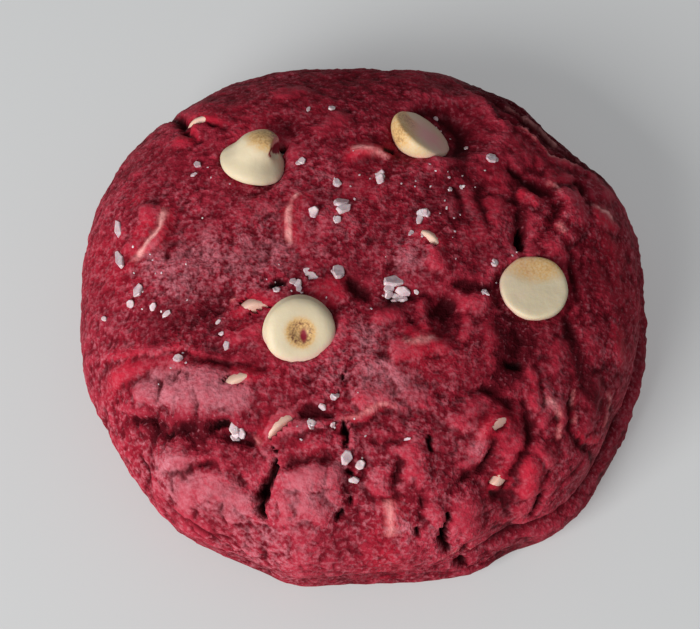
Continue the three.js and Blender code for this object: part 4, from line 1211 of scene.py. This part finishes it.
def cover_chips(places, ragged, outward, height, edges):
    """Bakes dough over the buried chips as a thin skin, torn open where a chip shows."""
    skinned = height.copy()
    bare = np.full(len(height), FREE)
    for (_, _, _, _, width, points), piece in zip(BURIED_CHIPS, buried_chips):
        over = height_over(places, outward, piece)
        skinned = np.maximum(skinned, over + SKIN)
        if not points:
            continue
        shifted = places + TEAR_RAGGEDNESS * (ragged - places)
        distance, _, along = along_line(shifted, curved(points))
        half = width * (0.35 + 0.65 * np.sqrt(np.clip(np.sin(math.pi * along), 0, 1)))
        edge = over - SUNK + TEAR_SLOPE * np.clip(distance - half, 0, None)
        edge[over < height - DEEPEST_TEAR] = FREE
        bare = np.minimum(bare, edge)
    lift = (skinned - height)[:, None]
    sloped = neighbour_mean(lift, edges, SKIN_EVENINGS)
    return np.minimum(height + np.maximum(lift, sloped)[:, 0], bare)


def edges_of(piece):
    edges = np.empty(len(piece.data.edges) * 2, dtype=np.int64)
    piece.data.edges.foreach_get("vertices", edges)
    return edges.reshape(-1, 2)


def hollowness(dough, times, depth):
    """1 in hollows about depth mm deep, 0 on ridges, 0.5 where the surface is even."""
    places = vertex_places(dough)
    normals = np.empty(len(places) * 3)
    dough.data.vertices.foreach_get("normal", normals)
    evened = neighbour_mean(places, edges_of(dough), times)
    below = ((evened - places) * normals.reshape(-1, 3)).sum(axis=1) / MM
    return 0.5 + 0.5 * below / depth


# Hollows of three sizes, with painted shade in them: [name of the mask, times that the surface is
# evened out to find them, depth in mm, mask at which they begin to darken, how strongly they do]
HOLLOWS = [
    ("fine_hollow", 3, 0.09, 0.5, 0.4),
    ("crumb_hollow", 14, 0.26, 0.55, 0.62),
    ("broad_hollow", 60, 0.75, 0.55, 0.75),
]
SOCKET_DEPTH = 0.25  # how far the dough shrinks back from a chip that shows whole
SOCKET_WIDTH = 0.4
SKIN_WIDTH = 0.8  # mm from a buried chip within which the skin is smooth and vivid
SKIN_SMOOTHNESS = 0.88  # share of the crumb that is missing there


def bake_dough():
    dough, directions = round_block()
    dough.name = "baked_dough"
    places, outward = draw_out(directions)
    rise = smooth_step(places[:, 2], STILL_UP_TO, FREE_FROM)
    ragged, height, whole, masks = baked_relief(places)
    height = seat_chips(places, outward, height)
    height = cover_chips(places, ragged, outward, height, edges_of(dough))
    bulk = places + outward * (height * rise)[:, None]
    whole_gap = chip_gap(bulk, whole_chips)
    buried_gap = chip_gap(bulk, buried_chips)
    socket = SOCKET_DEPTH * bell(np.clip(whole_gap, 0, None), SOCKET_WIDTH)
    over_chip = bell(np.clip(buried_gap, 0, None), SKIN_WIDTH)
    crumbs = crumb_relief(bulk, ragged, whole, masks["crumbly"]) * (1 - SKIN_SMOOTHNESS * over_chip)
    baked = bulk + outward * ((crumbs - socket) * rise)[:, None]
    move_vertices(dough, baked * MM)
    masks["thin_skin"] = over_chip * (buried_gap < FARTHEST_GAP - 0.1)
    masks["crumbly"] = masks["crumbly"] - 0.5 * masks["thin_skin"]
    # Painted shade on the foot, which lies under the cap's lip
    foot = smooth_step(-places[:, 2], -11, -7)
    masks["painted_shade"] = masks["painted_shade"] + (0.5 + 0.3 * noise_at(places, 6, 51)) * foot
    for name, times, depth, _, _ in HOLLOWS:
        masks[name] = hollowness(dough, times, depth)
    for name, values in masks.items():
        paint(dough, name, values)
    return dough


dough = bake_dough()

# deep red of the crumb, which the painted shade also lays on
DOUGH_DEEP = (0.128, 0.0040, 0.0108, 1)
DOUGH_RED = (0.345, 0.0140, 0.033, 1)
# the darkest painted shade, in hollows and under the deepest shade
DOUGH_HOLLOW = (0.040, 0.0015, 0.0040, 1)
# painted highlight on ridges
DOUGH_RIDGE_HIGHLIGHT = (0.50, 0.036, 0.066, 1)
DOUGH_VIVID = (0.52, 0.014, 0.036, 1)
# pale pink: flour, and painted sheen
DOUGH_FLOUR_AND_SHEEN = (0.64, 0.228, 0.278, 1)
# pale stretched skin, and painted highlights on lit edges
DOUGH_PALE = (0.95, 0.44, 0.42, 1)
# painted shade inside cracks and pits
DOUGH_CRACK = (0.012, 0.0008, 0.0016, 1)
DOUGH_ROUGHNESS = 0.8
DOUGH_GLOSS = 0.06
DOUGH_BUMPS = (0.5, 0.3 * MM)  # [strength, depth]
# How far each layer of colour can cover what lies under it
RIDGE_HIGHLIGHT_COVER = 0.75
SKIN_COVER = 0.8
VIVID_COVER = 0.85
FLOUR_AND_SHEEN_COVER = 0.92
SHADE_COVER = 0.78
DEEPEST_SHADE_COVER = 0.55
SPECK_COVER = 0.36
STREAK_COVER = 0.9


def weighted_sum(tree, *parts):
    """Adds values up, each times its weight."""
    total = 0.0
    for source, weight in parts:
        total = computed(tree, "MULTIPLY_ADD", source, weight, total)
    return total


def red_dough():
    """Dry red crumb: mottled, with painted shade in its hollows and a painted highlight on ridges, and pink
    in places from flour and painted sheen.
    """
    material, shader, tree = plain_material("red_dough", DOUGH_RED, DOUGH_ROUGHNESS)

    def mask(name, low=0.0, high=1.0, to_low=0.0, to_high=1.0):
        return spread(tree, read_attribute(tree, name), low, high, to_low, to_high)

    def share_of(name, strength):
        return computed(tree, "MULTIPLY", read_attribute(tree, name), strength)

    unevenness = mask("crumbly", to_low=0.5, to_high=1.25)

    def uneven(size, detail):
        """Speckle from 0 to 1, faint on smooth dough and strong where it is crumbly."""
        centred = computed(tree, "SUBTRACT", grain(tree, size, detail, contrast=3.0), 0.5)
        return computed(tree, "MULTIPLY_ADD", centred, unevenness, 0.5)

    # deep red mottled with red, with a painted highlight on ridges, and vivid over chips and on lumps
    patches = grain(tree, size=3.4, detail=3, contrast=2.2)
    crumbs = uneven(size=1.2, detail=2)
    grains = uneven(size=0.55, detail=1)
    mottle = weighted_sum(tree, (patches, 0.45), (crumbs, 0.55))
    colour = blended(tree, mottle, DOUGH_DEEP, DOUGH_RED)
    colour = blended(tree, mask("crumb_hollow", 0.5, 0.1, 0, RIDGE_HIGHLIGHT_COVER), colour, DOUGH_RIDGE_HIGHLIGHT)
    skin = share_of("thin_skin", SKIN_COVER)
    vivid = computed(tree, "MAXIMUM", skin, share_of("vivid", VIVID_COVER))
    colour = blended(tree, vivid, colour, DOUGH_VIVID)
    # pink in specks and patches, partly flour and partly painted sheen
    flour_and_sheen = read_attribute(tree, "flour_and_sheen")
    dust = weighted_sum(tree, (crumbs, 0.25), (mottle, 0.3), (grains, 0.45), (flour_and_sheen, 0.9))
    colour = blended(tree, spread(tree, dust, 0.7, 1.85, 0, FLOUR_AND_SHEEN_COVER), colour, DOUGH_FLOUR_AND_SHEEN)
    # painted shade from creases, bands and spots and on the foot, with single pale crumbs
    colour = blended(tree, share_of("painted_shade", SHADE_COVER), colour, DOUGH_DEEP)
    colour = blended(tree, mask("painted_shade", 0.75, 1, 0, DEEPEST_SHADE_COVER), colour, DOUGH_HOLLOW)
    # single pale crumbs, partly painted glints where crumbs catch the light
    specks = grain(tree, size=0.6, detail=2, contrast=2.2)
    specks = spread(tree, specks, 0.7, 1.0, 0, SPECK_COVER)
    specks = computed(tree, "MULTIPLY", specks, mask("crumbly", to_low=0.3))
    colour = blended(tree, specks, colour, DOUGH_FLOUR_AND_SHEEN)
    # painted shade in the hollows
    for name, _, _, low, strength in HOLLOWS:
        colour = blended(tree, mask(name, low, 1, 0, strength), colour, DOUGH_HOLLOW)
    # pale along streaks, and painted shade, black red, in cracks and pits
    colour = blended(tree, share_of("streaked", STREAK_COVER), colour, DOUGH_PALE)
    colour = blended(tree, read_attribute(tree, "split"), colour, DOUGH_CRACK)
    set_inputs(shader, {
        "Base Color": colour,
        "Roughness": mask("crumbly", to_low=0.5, to_high=0.85),
        "Normal": bumps(tree, uneven(size=0.6, detail=2), *DOUGH_BUMPS),
        "Specular IOR Level": DOUGH_GLOSS,
    })
    return material


shade_smooth(dough)
finish(dough, red_dough(), "dough")

# Where the dough touches the chips it has left them pink.
SMEAR_REACH = 0.5 * MM
SMEAR_STRENGTH = 0.45
dough_tree = BVHTree.FromObject(dough, bpy.context.evaluated_depsgraph_get())
for chip in whole_chips + buried_chips:
    distances = [dough_tree.find_nearest(Vector(place))[3] for place in vertex_places(chip)]
    smear = SMEAR_STRENGTH * bell(np.array(distances), SMEAR_REACH)
    paint(chip, "smeared", np.maximum(painted(chip, "smeared"), smear))


# ---------------------------------------------------------------------------
# The salt: flat flakes and broken crystals scattered over the top after baking,
# partly sunk in the crumb. Each place in the list gets one flake or a few crystals.
# ---------------------------------------------------------------------------
# [x, y, width, number of crystals]
SALT = [
    (-34.9, -4.9, 1.0, 1), (-31.4, -6, 1.0, 1), (-39.2, -6, 0.7, 1), (-20.9, -11.4, 0.7, 1),
    (-25.5, 17.5, 1.2, 1), (-26, 15.8, 0.7, 1), (-9.7, 16.8, 1.3, 2), (-12.6, 19.8, 1.3, 3),
    (-4.8, 27.6, 0.9, 1), (-8.5, 27.5, 0.8, 1), (-4.2, 13, 1.2, 2), (-7.5, 7.3, 1.7, 1),
    (-3.2, 8.4, 2.3, 2), (-4.2, 6.3, 1.2, 2), (-7.7, -2.6, 2.1, 1), (-3.8, -2.6, 1.8, 1),
    (-10.1, -4.4, 1.9, 4), (-12.9, -5.6, 1.2, 2), (2.8, 13.8, 1.8, 3), (8.9, 6.8, 1.8, 3),
    (3.4, -5.6, 1.6, 2), (5.3, -6.1, 2.0, 4), (-6, -23.2, 0.9, 1), (19.9, 18.4, 1.8, 3),
    (11.5, 27.6, 0.7, 1), (16.1, 21.6, 0.9, 1), (13.2, 12.1, 0.9, 2), (15, 12.6, 0.8, 2),
    (19.6, -0.4, 1.2, 2), (-27.2, -15.3, 1.2, 1), (-18.2, -26.2, 2.4, 4), (-7.5, -25.9, 1.3, 2),
    (-1.5, -33.3, 1.3, 1), (-4.4, -21.8, 1.2, 2), (-4.5, -25.8, 0.8, 1), (-21.5, -9.5, 0.7, 1),
    (7, 3.9, 0.8, 2), (7.8, -5.5, 0.7, 1), (18, -5.5, 0.9, 2),
]
# Single long flakes: [x, y, width, length, degrees by which it is turned]
LONG_FLAKES = [
    (-37.6, 8.4, 1.4, 2.8, 100), (-37.1, 3, 1.3, 3.6, 104), (-33.8, -3, 1.4, 2.2, 70),
    (-29.3, -7.5, 0.8, 1.5, 25), (-20.1, -13.5, 1.0, 1.7, 85), (4.4, -4, 2.0, 3.1, 10),
    (5.9, -5.4, 1.4, 2.2, -20), (-3.9, -2.8, 0.9, 2.0, -25), (18.1, -5.5, 0.6, 1.4, -50),
    (6.2, -28, 0.4, 1.4, 0), (-2.5, -30.6, 1.4, 2.1, 80), (-0.5, -31.3, 1.3, 1.6, 45),
]
# Salt dust: [x, y, how far it is spread, number of grains]
SALT_DUST = [
    (12, 12, 7, 14), (4, -5, 4, 8), (10, 4, 5, 8), (-30, 0, 6, 12), (-12, -4, 5, 8), (0, 14, 6, 6),
    (20, 0, 7, 6), (-4, -26, 6, 8), (-22, 14, 7, 4), (14, 24, 6, 4), (-28, -16, 6, 4),
]
DUST_WIDTH = 0.34
CRYSTAL_GROWTH = 1.3  # width of a crystal that lies alone, times the width in the list
HEAP_REACH = 0.33  # how far crystals can lie from the middle of their heap, times its width
CRYSTAL_WORN = 0.22  # how far its edges are worn, as a share of its thickness
CRYSTAL_RAISED = 0.3  # share of its thickness by which its middle stands over the dough
SALT_SEED = 4
SALT_CLOUDY = (0.55, 0.38, 0.42, 1)
SALT_WHITE = (0.86, 0.70, 0.72, 1)
SALT_ROUGHNESS = 0.35
SALT_GLOW = 0.2
SALT_GLOW_DEPTH = 0.5 * MM


def lay_on_dough(x, y):
    """The dough's surface at a place in the plan, and its outward direction."""
    hit, normal, _, _ = dough_tree.ray_cast(Vector((x * MM, y * MM, 0.1)), Vector((0, 0, -1)))
    return hit, normal


def crystal(place, outward, length, width, turn, rng):
    """A thin broken plate with uneven corners, tipped a little and partly sunk."""
    deselect_all()
    thickness = width * rng.uniform(0.3, 0.45)
    bpy.ops.mesh.primitive_cylinder_add(vertices=rng.choice((5, 5, 6, 7)), radius=0.55, depth=1)
    plate = bpy.context.object
    places = vertex_places(plate)
    uneven = np.array([(rng.uniform(-0.12, 0.12), rng.uniform(-0.12, 0.12), 0) for _ in places])
    corners = (places + uneven) * np.array([length, width, thickness])
    tilt = Quaternion((rng.uniform(-1, 1), rng.uniform(-1, 1), 0.1), rng.uniform(0, 0.35))
    lying = Vector((0, 0, 1)).rotation_difference(outward) @ tilt @ Quaternion((0, 0, 1), turn)
    turned = corners @ np.array(lying.to_matrix()).T
    move_vertices(plate, turned + np.array(place + outward * thickness * CRYSTAL_RAISED))
    bevel = plate.modifiers.new("worn", "BEVEL")
    bevel.width = thickness * CRYSTAL_WORN
    bevel.segments = 1
    apply_all_modifiers(plate)
    return plate


def loose_crystal(x, y, width, rng):
    laid = lay_on_dough(x, y)
    length = width * rng.uniform(0.85, 1.1)
    return crystal(*laid, length, width * rng.uniform(0.55, 0.9), rng.uniform(0, math.tau), rng)


def crystal_share(count):
    """Size of each crystal of a heap, which is smaller the more there are."""
    if count == 1:
        return 1
    return 0.75 if count < 4 else 0.55


def scatter_salt():
    rng = random.Random(SALT_SEED)
    plates = []
    for x, y, width, length, turn in LONG_FLAKES:
        laid = lay_on_dough(x, y)
        plates.append(crystal(*laid, length * MM, width * MM, math.radians(turn), rng))
    for x, y, width, count in SALT:
        size = width * CRYSTAL_GROWTH * MM * crystal_share(count)
        shift = 0 if count == 1 else width * HEAP_REACH
        for _ in range(count):
            spot = (x + rng.uniform(-shift, shift), y + rng.uniform(-shift, shift))
            plates.append(loose_crystal(*spot, size, rng))
    for x, y, reach, count in SALT_DUST:
        for _ in range(count):
            spot = (x + rng.gauss(0, reach / 2), y + rng.gauss(0, reach / 2))
            plates.append(loose_crystal(*spot, DUST_WIDTH * MM * rng.uniform(0.7, 1.3), rng))
    deselect_all()
    for plate in plates:
        plate.select_set(True)
    bpy.context.view_layer.objects.active = plates[0]
    bpy.ops.object.join()
    salt = bpy.context.object
    salt.name = "salt_flakes"
    return salt


def salt_crystal():
    material, shader, tree = plain_material("salt_crystal", SALT_WHITE, SALT_ROUGHNESS)
    cloudy = grain(tree, size=0.9, detail=2, contrast=2.5)
    set_inputs(shader, {
        "Base Color": blended(tree, cloudy, SALT_CLOUDY, SALT_WHITE),
        "Subsurface Weight": SALT_GLOW,
        "Subsurface Scale": SALT_GLOW_DEPTH,
    })
    return material


salt = scatter_salt()
finish(salt, salt_crystal(), "dough")
